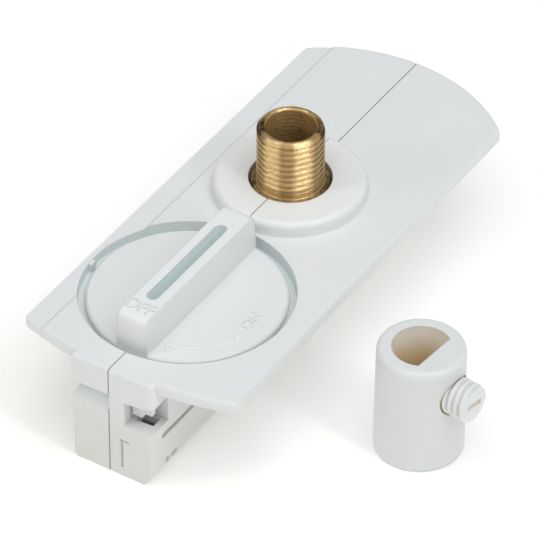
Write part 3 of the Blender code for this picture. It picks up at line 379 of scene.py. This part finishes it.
def painted_bar_slot_light(finish):
    """Painted light in the slot of the dial's bar. Its half width and half length are compared as
    squares.
    """
    x, y, z = finish.along(DIAL_AXIS)
    return ((x * x).falling(0.9 * MM ** 2, 1.2 * MM ** 2)
            * (y * y).falling(97.5 * MM ** 2, 105.0 * MM ** 2)
            * z.falling(BAR_TOP - 0.7 * MM, BAR_TOP - 0.05 * MM)
            * z.rising(DISC_TOP, DISC_TOP + 0.5 * MM))


def outwards(x, y):
    """How far a place lies from the cord grip's axis, measured along its screw."""
    return x * math.cos(GRIP_TURN) + y * math.sin(GRIP_TURN)


def off_screw(x, y, z):
    """How far a place lies from the axis of the grip's screw."""
    across = y * math.cos(GRIP_TURN) - x * math.sin(GRIP_TURN)
    return spread(across, z - SCREW_LEVEL)


def grip_wall(x, y):
    """The wall of the cord grip's bore."""
    return spread(x, y).falling(GRIP_BORE + 0.02 * MM, GRIP_BORE + 0.12 * MM)


def painted_screw_side_shade(finish):
    """Painted shade on the side of the cord grip where its screw is, but not on its top."""
    x, y, z = finish.along(GRIP_AXIS)
    return (outwards(x, y).rising(-2.0 * MM, 4.0 * MM)
            * z.falling(GRIP_TOP - 2.0 * MM, GRIP_TOP - 0.6 * MM))


def painted_mouth_light(finish):
    """Painted light on the wall of the cord grip's bore, at every depth below the top rim."""
    x, y, z = finish.along(GRIP_AXIS)
    return grip_wall(x, y) * (GRIP_TOP - z).rising(0.05 * MM, 0.3 * MM)


def painted_grip_shade(finish):
    """Painted shade in the depth of the cord grip's bore, and on the wall of its screw hole."""
    x, y, z = finish.along(GRIP_AXIS)
    bore = grip_wall(x, y) * (GRIP_TOP - z).rising(1.0 * MM, 7.5 * MM)
    hole = (off_screw(x, y, z).falling(SCREW_RADIUS + 0.22 * MM, SCREW_RADIUS + 0.34 * MM)
            * outwards(x, y).rising(0.0, 1.0 * MM))
    return (bore + 0.75 * hole).limited()


def painted_screw_slot_shade(finish):
    """Painted shade in the depth of the screw's end slot, and in part in the roots of its thread.
    """
    x, y, z = finish.along(GRIP_AXIS)
    depth = SCREW_END - outwards(x, y)
    radius = off_screw(x, y, z)
    slot = radius.falling(1.72 * MM, 1.82 * MM) * depth.rising(0.05 * MM, 0.3 * MM)
    root = (radius.falling(SCREW_RADIUS - 0.6 * MM, SCREW_RADIUS - 0.15 * MM)
            * depth.rising(0.3 * MM, 0.5 * MM))
    return (slot + 0.5 * root).limited()


# Finishes

def moulded(name, colour, matt, edge=0.18 * MM, texture=1.0, soil=0.4, painted_tones=()):
    """Injection moulded plastic: cloudy flow, tool grain, worn edges, a few scuffs and specks.

    matt is its roughness, edge the rounding of its edges, and texture and soil say how much of
    these it shows. painted_tones holds pairs of a place and its tone of painted light and shade.
    """
    finish = Finish(name)
    flow = finish.cloud(55.0, 3.0)
    mottle = finish.cloud(420.0, 4.0, 0.6)
    grain = finish.cloud(3600.0, 2.0, 0.55)
    streaks = finish.cloud((900.0, 5200.0, 900.0), 2.0).rising(0.52, 0.7)
    scuffs = streaks * finish.cloud(160.0, 1.0).rising(0.15, 0.5)
    specks = finish.specks(240.0, 0.03, 0.16)
    normal, edges = finish.softened(edge)
    tone = (0.5 + 0.30 * flow + 0.22 * mottle + 0.12 * grain + 0.35 * edges).limited()
    base = finish.mixed(tone, shade(colour, 0.972), shade(colour, 1.028))
    # Painted light and shade: each place gets its own tone over the plastic.
    for place, lining in painted_tones:
        base = finish.mixed(place(finish), base, tuple(lining))
    base = finish.mixed(specks * soil, base, shade(colour, 0.45))
    worn = texture * (0.07 * grain + 0.16 * scuffs)
    roughness = (matt + 0.05 * flow + worn - 0.09 * edges).limited(0.08, 0.9)
    height = texture * MM * (0.0024 * grain + 0.004 * mottle + 0.010 * flow - 0.003 * scuffs)
    return finish.surface(base, roughness, height, normal, {"IOR": 1.5})


def turned_brass(name, colours):
    """Brass off the lathe: turning rings and film in the roots, with painted highlight bands on
    four sides and painted shade on two more.
    """
    finish = Finish(name)
    x, y, z = finish.along()
    reach = spread(x, y)
    below = NIPPLE_BOX[1].z - z
    rings = finish.cloud((1200.0, 1200.0, 7200.0), 3.0, 0.7)
    film = finish.cloud(420.0, 4.0, 0.65)
    blotch = finish.cloud(130.0, 3.0)
    dirt = 0.5 + 0.5 * film
    normal, edges = finish.softened(0.05 * MM)

    bore = reach.falling(NIPPLE_BORE + 0.08 * MM, NIPPLE_BORE + 0.18 * MM)
    outside = 1.0 - bore
    collar = reach.rising(NIPPLE_RADIUS + 0.04 * MM, NIPPLE_RADIUS + 0.16 * MM)
    root = (reach.falling(NIPPLE_RADIUS - 0.26 * MM, NIPPLE_RADIUS - 0.06 * MM)
            * below.rising(0.5 * MM, 0.7 * MM) * outside)
    crest = (reach.rising(NIPPLE_RADIUS - 0.12 * MM, NIPPLE_RADIUS - 0.03 * MM)
             * (1.0 - collar) * outside)
    shoulder = below.rising(0.10 * MM, 0.25 * MM) * below.falling(0.6 * MM, 1.0 * MM) * outside
    rim = below.falling(0.9 * MM, 1.6 * MM) * outside
    foot = outside * z.falling(COLLAR_TOP + 0.1 * MM, COLLAR_TOP + 0.9 * MM)

    # Painted highlight in bright bands on two pairs of opposite sides, and painted shade on a third
    # pair.
    painted_highlight = (side(x, y, reach, -4.0).rising(0.86, 0.98)
              + side(x, y, reach, 56.0).rising(0.84, 0.98)).limited() * outside * (1.0 - collar)
    painted_dark_sides = side(x, y, reach, 122.0).rising(0.74, 0.97)
    between = (1.0 - painted_highlight) * (1.0 - painted_dark_sides) * outside
    # Painted highlight: the bands, and bright crest lines on the shaded sides below the rim.
    bright = painted_highlight + 0.7 * crest * painted_dark_sides * (1.0 - rim)
    depth = below.rising(1.0 * MM, 7.0 * MM)
    # Real film, blotches, turning rings and dirt, with painted shade on the dark sides' roots, rim
    # and surface; the bore goes darker with depth, and the highlight bands are kept clean.
    tarnish_and_shade = ((0.02 + 0.08 * painted_highlight + 1.2 * painted_dark_sides) * root
              + (0.20 + 1.1 * blotch + 0.5 * painted_dark_sides) * shoulder
              + (0.45 + 1.1 * film) * collar
              + (0.45 + 1.6 * film) * painted_dark_sides * rim
              + bore * (0.04 + 0.42 * depth + 1.3 * rings + 0.5 * film + 0.6 * blotch)
              + 0.35 * blotch.rising(0.0, 0.5) * dirt
              + 1.2 * rings
              + 0.24 * outside
              + 0.45 * painted_dark_sides * dirt * (1.0 - 0.7 * collar) * (1.0 - crest)
              - 0.25 * edges
              - 0.42 * painted_highlight).limited()

    tone = (0.55 + 0.4 * film + 2.2 * rings).limited()
    base = finish.mixed(tone, shade(colours.brass, 0.62), shade(colours.brass, 1.18))
    base = finish.mixed((bright * (0.95 + 2.0 * rings)).limited(), base, tuple(colours.painted_highlight))
    base = finish.mixed(tarnish_and_shade, base, tuple(colours.tarnish))
    roughness = (0.28 + 0.14 * tarnish_and_shade + 0.06 * film).limited(0.12, 0.8)
    height = 0.060 * MM * rings * outside * (1.0 - collar) + 0.008 * MM * film
    metallic = (1.0 - 0.55 * bore - 0.45 * (collar + foot).limited() - 0.35 * between).limited()
    return finish.surface(base, roughness, height, normal, {
        "Metallic": metallic, "Anisotropic": 0.85, "Anisotropic Rotation": 0.25})


def stamped_brass(name, colour):
    """Rolled brass strip: long rolling lines, sheared bright edges, faint tarnish."""
    finish = Finish(name)
    lines = finish.cloud((3200.0, 160.0, 3200.0), 3.0, 0.6)
    film = finish.cloud(240.0, 4.0, 0.6)
    normal, edges = finish.softened(0.06 * MM)
    tone = (0.5 + 0.4 * film + 0.2 * lines + 0.4 * edges).limited()
    base = finish.mixed(tone, shade(colour, 0.72), shade(colour, 1.1))
    roughness = (0.30 + 0.08 * film + 0.07 * lines - 0.08 * edges).limited(0.1, 0.8)
    height = 0.003 * MM * lines + 0.003 * MM * film
    return finish.surface(base, roughness, height, normal, {"Metallic": 1.0})


def plated_steel(name, colour):
    """Zinc plated steel: crystalline bloom, fine pits, worn edges."""
    finish = Finish(name)
    bloom = finish.cloud(310.0, 4.0, 0.65)
    pits = finish.cloud(2600.0, 2.0)
    normal, edges = finish.softened(0.08 * MM)
    tone = (0.5 + 0.4 * bloom + 0.15 * pits + 0.5 * edges).limited()
    base = finish.mixed(tone, shade(colour, 0.80), shade(colour, 1.12))
    roughness = (0.34 + 0.10 * bloom + 0.06 * pits - 0.10 * edges).limited(0.1, 0.8)
    height = 0.003 * MM * pits + 0.004 * MM * bloom
    return finish.surface(base, roughness, height, normal, {"Metallic": 1.0})


def plain_floor(name, tone):
    """Pale matte sheet with a very faint mottle."""
    finish = Finish(name)
    mottle = finish.cloud(9.0, 3.0)
    dark = (tone * 0.995, tone * 0.988, tone * 0.965)
    light = (tone, tone * 0.994, tone * 0.975)
    base = finish.mixed((0.5 + 0.5 * mottle).limited(), dark, light)
    roughness = 0.85 + 0.05 * mottle
    return finish.surface(base, roughness, 0.01 * MM * mottle, None, {
        "Emission Color": (1.0, 0.99, 0.97), "Emission Strength": 0.17})


def wear(material, *nodes):
    """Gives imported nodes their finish."""
    for name in nodes:
        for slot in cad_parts[name].material_slots:
            slot.material = material


# Objects and mesh forms

def linked(name, data):
    """An object in the scene."""
    item = bpy.data.objects.new(name, data)
    bpy.context.scene.collection.objects.link(item)
    return item


def meshed(name, mesh):
    """An object in the scene from a bmesh, which is used up."""
    data = bpy.data.meshes.new(name)
    mesh.to_mesh(data)
    mesh.free()
    return linked(name, data)


def settled(item):
    """The mesh that an object shows, with its modifiers or its outline worked out."""
    bpy.context.view_layer.update()
    shown = item.evaluated_get(bpy.context.evaluated_depsgraph_get())
    return bpy.data.meshes.new_from_object(shown)


def piece(name, mesh, material, body, sharp=38.0):
    """A finished object from a bmesh: outward faces, smooth shading with sharp creases kept."""
    bmesh.ops.recalc_face_normals(mesh, faces=mesh.faces)
    for face in mesh.faces:
        face.smooth = True
    for line in mesh.edges:
        line.smooth = line.calc_face_angle(0.0) < math.radians(sharp)
    item = meshed(name, mesh)
    item.data.materials.append(material)
    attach(item, body)
    return item


def skin(mesh, rows, closed):
    """Faces between rows of points, each row going once round. The ends meet or are capped."""
    rings = [[mesh.verts.new(point) for point in row] for row in rows]
    pairs = list(zip(rings, rings[1:]))
    if closed:
        pairs.append((rings[-1], rings[0]))
    for near, far in pairs:
        for i in range(len(near)):
            j = (i + 1) % len(near)
            mesh.faces.new((near[i], near[j], far[j], far[i]))
    if not closed:
        mesh.faces.new(rings[0])
        mesh.faces.new(rings[-1])


def stepped(start, end, step):
    """Places a step apart between a start and an end, without these two."""
    place = start + step
    while place < end - step / 2:
        yield place
        place += step


def ease(value, low, high):
    """0 below low, 1 above high, and smooth between them."""
    share = min(1.0, max(0.0, (value - low) / (high - low)))
    return share * share * (3.0 - 2.0 * share)


def thread(phase):
    """Depth of a rounded V groove, from 0 on the crest to 1 at the root."""
    crest_share, root_share, rounding = 0.34, 0.10, 0.35
    swing = abs(2.0 * (phase % 1.0) - 1.0)
    slope = min(1.0, max(0.0, (swing - crest_share) / (1.0 - crest_share - root_share)))
    return rounding * ease(slope, 0.0, 1.0) + (1.0 - rounding) * slope


def nipple_rows(sizes):
    """The nipple as rings: up the thread, over the collar, to the rim and back down the bore."""
    foot, top, collar = NIPPLE_BOX[0].z, NIPPLE_BOX[1].z, NIPPLE_BOX[1].x
    chamfer, run_out, count = 0.52 * MM, 0.5 * MM, 128
    bore_step, lead_in = 0.2 * MM, 0.3 * MM
    step = sizes.nipple_pitch / TURN_STEPS

    def ring(z, radius, threaded=0.0, rough=0.0):
        row = []
        for i in range(count):
            turn = 2.0 * math.pi * i / count
            groove = sizes.nipple_depth * thread(z / sizes.nipple_pitch - i / count)
            r = radius - threaded * groove
            if threaded:
                r = min(r, NIPPLE_RADIUS - max(0.0, z - (top - chamfer), foot + chamfer - z))
            # Small dents, in the radius and along the axis
            spot = Vector((math.cos(turn), math.sin(turn), z / MM))
            r += rough * noise.noise(spot * 6.0)
            lift = rough * noise.noise(spot * 9.0 + Vector((5.0, 0.0, 0.0)))
            row.append((r * math.cos(turn), r * math.sin(turn), z + lift))
        return row

    def plain_rings(*places):
        return [ring(z, radius, rough=rough) for z, radius, rough in places]

    rows = [ring(foot, NIPPLE_RADIUS - chamfer)]
    rows += [ring(z, NIPPLE_RADIUS, 1.0 - ease(z, COLLAR_FOOT - run_out, COLLAR_FOOT))
             for z in stepped(foot, COLLAR_FOOT, step)]
    rows += plain_rings(
        (COLLAR_FOOT, NIPPLE_RADIUS, 0.0),
        (COLLAR_FOOT, collar - 0.12 * MM, 0.0),
        (COLLAR_FOOT + 0.12 * MM, collar, 0.0),
        (COLLAR_TOP - 0.15 * MM, collar, 0.012 * MM),
        (COLLAR_TOP - 0.04 * MM, collar - 0.04 * MM, 0.012 * MM),
        (COLLAR_TOP, collar - 0.16 * MM, 0.015 * MM),
        (COLLAR_TOP, NIPPLE_RADIUS + 0.12 * MM, 0.010 * MM),
        (COLLAR_TOP + 0.05 * MM, NIPPLE_RADIUS, 0.0))
    rows += [ring(z, NIPPLE_RADIUS, ease(z, COLLAR_TOP + 0.7 * MM, COLLAR_TOP + 1.8 * MM),
                  0.006 * MM)
             for z in stepped(COLLAR_TOP, top, step)]
    rows += plain_rings(
        (top, NIPPLE_RADIUS - chamfer, 0.030 * MM),
        (top, NIPPLE_BORE + 0.25 * MM, 0.020 * MM),
        (top - 0.12 * MM, NIPPLE_BORE + 0.07 * MM, 0.015 * MM))
    z = top - lead_in
    while z > foot + lead_in:
        wave = 0.025 * MM * math.sin(z / MM * 9.0)
        rows.append(ring(z, NIPPLE_BORE + wave, rough=0.020 * MM))
        z -= bore_step
    rows.append(ring(foot, NIPPLE_BORE + 0.15 * MM))
    return rows


def screw_frame():
    """The grip screw's own frame: a point on its axis, then outwards and across."""
    along = Vector((math.cos(GRIP_TURN), math.sin(GRIP_TURN), 0.0))
    across = Vector((-math.sin(GRIP_TURN), math.cos(GRIP_TURN), 0.0))
    return GRIP_AXIS + UP * SCREW_LEVEL, along, across


def screw_rows(sizes):
    """The grip screw as rings from its inner end to its slotted end."""
    centre, along, across = screw_frame()
    taper, count = 0.30 * MM, 96

    def ring(reach, shrink):
        row = []
        for i in range(count):
            turn = 2.0 * math.pi * i / count
            groove = sizes.screw_depth * thread(reach / sizes.screw_pitch - i / count)
            r = min(SCREW_RADIUS - groove, SCREW_RADIUS - shrink)
            spoke = across * math.cos(turn) + UP * math.sin(turn)
            row.append(centre + along * reach + spoke * r)
        return row

    rows = [ring(SCREW_START, 0.45 * MM)]
    for reach in stepped(SCREW_START, SCREW_END, sizes.screw_pitch / TURN_STEPS):
        near_end = min(reach - SCREW_START, SCREW_END - reach)
        rows.append(ring(reach, max(0.0, taper - near_end)))
    rows += [ring(SCREW_END, 0.22 * MM), ring(SCREW_END, 0.40 * MM)]
    return rows


def cut_slot(item, length, width, depth, tilt):
    """A blind screwdriver slot in the outer end of the grip screw."""
    centre, along, across = screw_frame()
    level = across * math.cos(tilt) + UP * math.sin(tilt)
    place = Matrix((along, level, along.cross(level))).transposed().to_4x4()
    place.translation = centre + along * SCREW_END
    cutter = bmesh.new()
    stretch = Matrix.Diagonal((2 * depth, length, width, 1.0))
    bmesh.ops.create_cube(cutter, size=1.0, matrix=place @ stretch)
    tool = meshed("slot_tool", cutter)
    change = item.modifiers.new("slot", "BOOLEAN")
    change.solver = "EXACT"
    change.operation = "DIFFERENCE"
    change.object = tool
    shaped = settled(item)
    item.modifiers.remove(change)
    item.data = shaped
    bpy.data.objects.remove(tool)


def lettering(name, word, size, centre, turn, rise, material):
    """A short word in raised letters. size is its width and height."""
    corner, rounding, weld = 1.2, 0.035 * MM, 1e-5
    curve = bpy.data.curves.new(name, "FONT")
    curve.body = word
    curve.extrude = 0.5
    curve.resolution_u = 5
    curve.offset = 0.014
    source = linked(name + "_outline", curve)
    data = settled(source)
    bpy.data.objects.remove(source)
    mesh = bmesh.new()
    mesh.from_mesh(data)
    bpy.data.meshes.remove(data)
    bmesh.ops.remove_doubles(mesh, verts=mesh.verts, dist=weld)
    low = Vector([min(v.co[i] for v in mesh.verts) for i in range(3)])
    high = Vector([max(v.co[i] for v in mesh.verts) for i in range(3)])
    scale = (size[0] / (high.x - low.x), size[1] / (high.y - low.y), rise / (high.z - low.z))
    place = (Matrix.Translation(centre) @ Matrix.Rotation(turn, 4, "Z")
             @ Matrix.Diagonal((*scale, 1.0)) @ Matrix.Translation(-(low + high) / 2))
    bmesh.ops.transform(mesh, verts=mesh.verts, matrix=place)
    rims = [line for line in mesh.edges if line.calc_face_angle(0.0) > corner
            and all(v.co.z > centre[2] for v in line.verts)]
    bmesh.ops.bevel(mesh, geom=rims, offset=rounding, segments=2, affect="EDGES",
                    clamp_overlap=True)
    return piece(name, mesh, material, "rotor")


def arc(centre, radius, start, sweep, steps):
    """Points along a level arc from its start, steps + 1 of them."""
    turns = [math.radians(start + sweep * i / steps) for i in range(steps + 1)]
    return [centre + radius * Vector((math.cos(turn), math.sin(turn), 0.0)) for turn in turns]


def bead(mesh, path, width, rise, closed=False):
    """A raised line with a rounded top along a level path."""
    rows = []
    for i, point in enumerate(path):
        before = path[i - 1] if closed or i else point
        after = path[(i + 1) % len(path)] if closed or i + 1 < len(path) else point
        across = (after - before).normalized().cross(UP)
        row = [point + across * edge - UP * MARK_SINK for edge in (-width / 2, width / 2)]
        for angle in (math.pi * k / 6 for k in range(7)):
            row.append(point + across * (width / 2 * math.cos(angle))
                       + UP * (rise * math.sin(angle)))
        rows.append(row)
    skin(mesh, rows, closed)


def dome(mesh, centre, radius, rise):
    """A raised dot with a rounded top."""
    profile = [(1.0, -MARK_SINK), (1.0, 0.0)]
    profile += [(math.cos(a), rise * math.sin(a)) for a in (0.35, 0.7, 1.05, 1.3, 1.48)]
    rows = [arc(centre + UP * height, radius * reach, 0.0, 360.0, 28)[:-1]
            for reach, height in profile]
    skin(mesh, rows, False)


def travel_mark(rise):
    """The ring, the arc and the dot between the words, which show how the dial turns."""
    mesh = bmesh.new()
    ring_centre = Vector((4.3 * MM, -38.85 * MM, DISC_TOP))
    dot_centre = Vector((11.15 * MM, -31.6 * MM, DISC_TOP))
    radius = 0.52 * MM
    bead(mesh, arc(ring_centre, radius, 0.0, 360.0, 32)[:-1], 0.28 * MM, rise * 0.8, closed=True)
    bead(mesh, arc(DIAL_AXIS + UP * DISC_TOP, 12.0 * MM, -65.2, 45.2, 40), 0.38 * MM, rise * 0.9)
    dome(mesh, dot_centre, radius, rise)
    return mesh


# Floor, light and camera

def lay_floor(tone):
    """A large pale floor just under the adapter."""
    mesh = bmesh.new()
    bmesh.ops.create_grid(mesh, x_segments=24, y_segments=24, size=3.0)
    floor = meshed("floor", mesh)
    floor.location.z = -0.02 * MM
    floor.data.materials.append(plain_floor("floor_finish", tone))


def light_surround(scene, strength):
    """An even, nearly white surround."""
    world = bpy.data.worlds.new("surround")
    world.use_nodes = True
    background = world.node_tree.nodes["Background"].inputs
    background["Color"].default_value = (0.985, 0.992, 1.0, 1.0)
    background["Strength"].default_value = strength
    scene.world = world


def aim(azimuth, elevation):
    """The direction of a place round the object, where azimuth 0 is the front."""
    flat = math.cos(elevation)
    return Vector((math.sin(azimuth) * flat, -math.cos(azimuth) * flat, math.sin(elevation)))


def hang_light(name, azimuth, elevation, distance, size, power, colour):
    """A soft rectangular light that faces the object. Its angles are in degrees."""
    data = bpy.data.lights.new(name, "AREA")
    data.shape = "RECTANGLE"
    data.size, data.size_y = size
    data.energy = power
    data.color = colour
    lamp = linked(name, data)
    direction = aim(math.radians(azimuth), math.radians(elevation))
    lamp.location = LIT_PLACE + direction * distance
    lamp.rotation_euler = direction.to_track_quat("Z", "Y").to_euler()


def place_camera(scene, stage):
    """The camera at the photograph's angle."""
    back = aim(stage.azimuth, stage.elevation)
    right = Vector((math.cos(stage.azimuth), math.sin(stage.azimuth), 0.0))
    up = back.cross(right)
    level = right * math.cos(stage.roll) + up * math.sin(stage.roll)
    upright = up * math.cos(stage.roll) - right * math.sin(stage.roll)
    matrix = Matrix((level, upright, back)).transposed().to_4x4()
    matrix.translation = Vector(stage.target) + back * stage.distance
    data = bpy.data.cameras.new("photo_camera")
    data.lens = stage.lens
    data.sensor_width = SENSOR_WIDTH
    data.clip_start = 0.01
    data.clip_end = 50.0
    camera = linked("photo_camera", data)
    camera.matrix_world = matrix
    scene.camera = camera


# Operators

class ADAPTER_OT_set_stage(bpy.types.Operator):
    """Lays the pale floor and sets the soft light and the camera"""
    bl_idname = "adapter.set_stage"
    bl_label = "Set the stage"

    def execute(self, context):
        stage = context.scene.adapter_stage
        lay_floor(stage.floor_tone)
        light_surround(context.scene, stage.surround)
        context.scene.view_settings.view_transform = "Standard"
        hang_light("overhead", azimuth=55.0, elevation=76.0, distance=1.1, size=(1.2, 1.2),
                   power=stage.overhead, colour=(0.97, 0.99, 1.0))
        hang_light("left_side", azimuth=-40.0, elevation=36.0, distance=0.9, size=(0.05, 0.70),
                   power=stage.left, colour=(1.0, 0.94, 0.84))
        hang_light("right_side", azimuth=80.0, elevation=38.0, distance=0.9, size=(0.07, 0.70),
                   power=stage.right, colour=(0.98, 0.99, 1.0))
        place_camera(context.scene, stage)
        return {"FINISHED"}


class ADAPTER_OT_finish_housing(bpy.types.Operator):
    """Gives both housing halves and the polarity key their moulded finish"""
    bl_idname = "adapter.finish_housing"
    bl_label = "Finish the housing"

    def execute(self, context):
        colours = context.scene.adapter_colours
        # Painted shade low down and round the dial, and painted light on the boss.
        material = moulded("housing_finish", colours.plastic, 0.40, painted_tones=[
            (painted_low_shade, colours.foot), (painted_boss_light, colours.raised), (painted_dial_shade, colours.painted_recess_tint)])
        wear(material, "housing_left", "housing_right", "polarity_key")
        return {"FINISHED"}


class ADAPTER_OT_finish_dial(bpy.types.Operator):
    """Gives the dial and the contact carrier under it their finishes"""
    bl_idname = "adapter.finish_dial"
    bl_label = "Finish the dial"

    def execute(self, context):
        colours = context.scene.adapter_colours
        # Painted light on the bar and in its slot.
        material = moulded("dial_finish", colours.plastic, 0.36, edge=0.26 * MM, painted_tones=[
            (painted_bar_light, colours.raised), (painted_bar_slot_light, shade(colours.painted_recess_tint, 1.14))])
        wear(material, "dial")
        wear(moulded("carrier_finish", colours.carrier, 0.52), "contact_carrier")
        return {"FINISHED"}


class ADAPTER_OT_raise_marks(bpy.types.Operator):
    """Raises the switch words and the travel mark on the dial"""
    bl_idname = "adapter.raise_marks"
    bl_label = "Raise the words and marks"

    def execute(self, context):
        sizes, colours = context.scene.adapter_sizes, context.scene.adapter_colours
        # The marks are drawn 4% brighter than the plastic: a painted highlight.
        material = moulded("mark_finish", shade(colours.plastic, 1.04), 0.34, edge=0.05 * MM)
        tall, rise = sizes.letter_height, sizes.letter_rise
        lettering("word_off", "OFF", size=(4.5 * MM, tall),
                  centre=(-0.10 * MM, -39.2 * MM, BAR_TOP + rise * 0.35),
                  turn=0.0, rise=rise * 1.3, material=material)
        lettering("word_on", "ON", size=(3.8 * MM, tall * 0.9),
                  centre=(10.85 * MM, -27.55 * MM, DISC_TOP + rise * 0.25),
                  turn=math.pi / 2, rise=rise * 1.1, material=material)
        piece("travel_mark", travel_mark(rise), material, "rotor")
        return {"FINISHED"}


class ADAPTER_OT_thread_nipple(bpy.types.Operator):
    """Makes the brass nipple with its real thread, collar, rim and turned bore"""
    bl_idname = "adapter.thread_nipple"
    bl_label = "Thread the nipple"

    def execute(self, context):
        mesh = bmesh.new()
        skin(mesh, nipple_rows(context.scene.adapter_sizes), True)
        material = turned_brass("nipple_finish", context.scene.adapter_colours)
        item = piece("brass_nipple", mesh, material, "adapter", sharp=55.0)
        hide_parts("threaded_nipple")
        return {"FINISHED"}


class ADAPTER_OT_finish_grip(bpy.types.Operator):
    """Gives the cord grip its glossy plastic with painted light and warm painted shade in its bore,
    and threads its screw
    """
    bl_idname = "adapter.finish_grip"
    bl_label = "Finish the cord grip"

    def execute(self, context):
        colours = context.scene.adapter_colours
        # Painted shade on the screw's side, painted light at the mouth of the bore and painted
        # shade deeper in.
        material = moulded(
            # The grip is drawn 3% darker than the housing plastic: painted shade.
            "grip_finish", shade(colours.plastic, 0.97), 0.30, edge=0.3 * MM, texture=0.15,
            soil=0.0, painted_tones=[(painted_screw_side_shade, shade(colours.plastic, 0.93)),
                             (painted_mouth_light, colours.painted_warm_tint), (painted_grip_shade, colours.lining)])
        wear(material, "cord_grip")
        mesh = bmesh.new()
        skin(mesh, screw_rows(context.scene.adapter_sizes), False)
        # Painted shade in the screw's slot and its thread roots.
        material = moulded(
            "grip_screw_finish", colours.plastic, 0.36, edge=0.03 * MM, texture=0.3,
            soil=0.1, painted_tones=[(painted_screw_slot_shade, shade(colours.painted_warm_tint, 0.80))])
        item = piece("clamping_screw", mesh, material, "clamp", sharp=50.0)
        cut_slot(item, length=3.2 * MM, width=0.95 * MM, depth=0.34 * MM,
                 tilt=math.radians(-10.0))
        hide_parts("grip_screw")
        return {"FINISHED"}


class ADAPTER_OT_finish_metal(bpy.types.Operator):
    """Gives the contacts, terminals, plates, nut, spring and screws their metal finishes"""
    bl_idname = "adapter.finish_metal"
    bl_label = "Finish the metal pieces"

    def execute(self, context):
        colours = context.scene.adapter_colours
        wear(stamped_brass("contact_finish", colours.brass),
             "live_blade", "neutral_blade", "live_strip", "neutral_strip", "earth_link",
             "live_terminal", "neutral_terminal", "earth_terminal")
        wear(plated_steel("steel_finish", colours.zinc),
             "nipple_nut", "locking_plate", "detent_spring", "carrier_screw",
             "housing_screw_1", "housing_screw_2", "housing_screw_3",
             "terminal_screw_1", "terminal_screw_2", "terminal_screw_3")
        return {"FINISHED"}


# Panel and registration

STEPS = (ADAPTER_OT_set_stage, ADAPTER_OT_finish_housing, ADAPTER_OT_finish_dial,
         ADAPTER_OT_raise_marks, ADAPTER_OT_thread_nipple, ADAPTER_OT_finish_grip,
         ADAPTER_OT_finish_metal)
GROUPS = (("adapter_sizes", AdapterSizes), ("adapter_colours", AdapterColours),
          ("adapter_stage", AdapterStage))


class ADAPTER_PT_dressing(bpy.types.Panel):
    """Lists the steps that dress the adapter, and what they can be given"""
    bl_idname = "ADAPTER_PT_dressing"
    bl_label = "Track light adapter"
    bl_space_type = "VIEW_3D"
    bl_region_type = "UI"
    bl_category = "Adapter"

    def draw(self, context):
        for name, group in GROUPS:
            box = self.layout.box()
            for key in group.__annotations__:
                box.prop(getattr(context.scene, name), key)
        for step in STEPS:
            self.layout.operator(step.bl_idname)


def register():
    for name, group in GROUPS:
        bpy.utils.register_class(group)
        setattr(bpy.types.Scene, name, bpy.props.PointerProperty(type=group))
    for step in STEPS:
        bpy.utils.register_class(step)
    bpy.utils.register_class(ADAPTER_PT_dressing)


def unregister():
    bpy.utils.unregister_class(ADAPTER_PT_dressing)
    for step in reversed(STEPS):
        bpy.utils.unregister_class(step)
    for name, group in reversed(GROUPS):
        delattr(bpy.types.Scene, name)
        bpy.utils.unregister_class(group)


def main():
    register()
    bpy.ops.adapter.set_stage()
    bpy.ops.adapter.finish_housing()
    bpy.ops.adapter.finish_dial()
    bpy.ops.adapter.raise_marks()
    bpy.ops.adapter.thread_nipple()
    bpy.ops.adapter.finish_grip()
    bpy.ops.adapter.finish_metal()


if __name__ == "__main__":
    main()
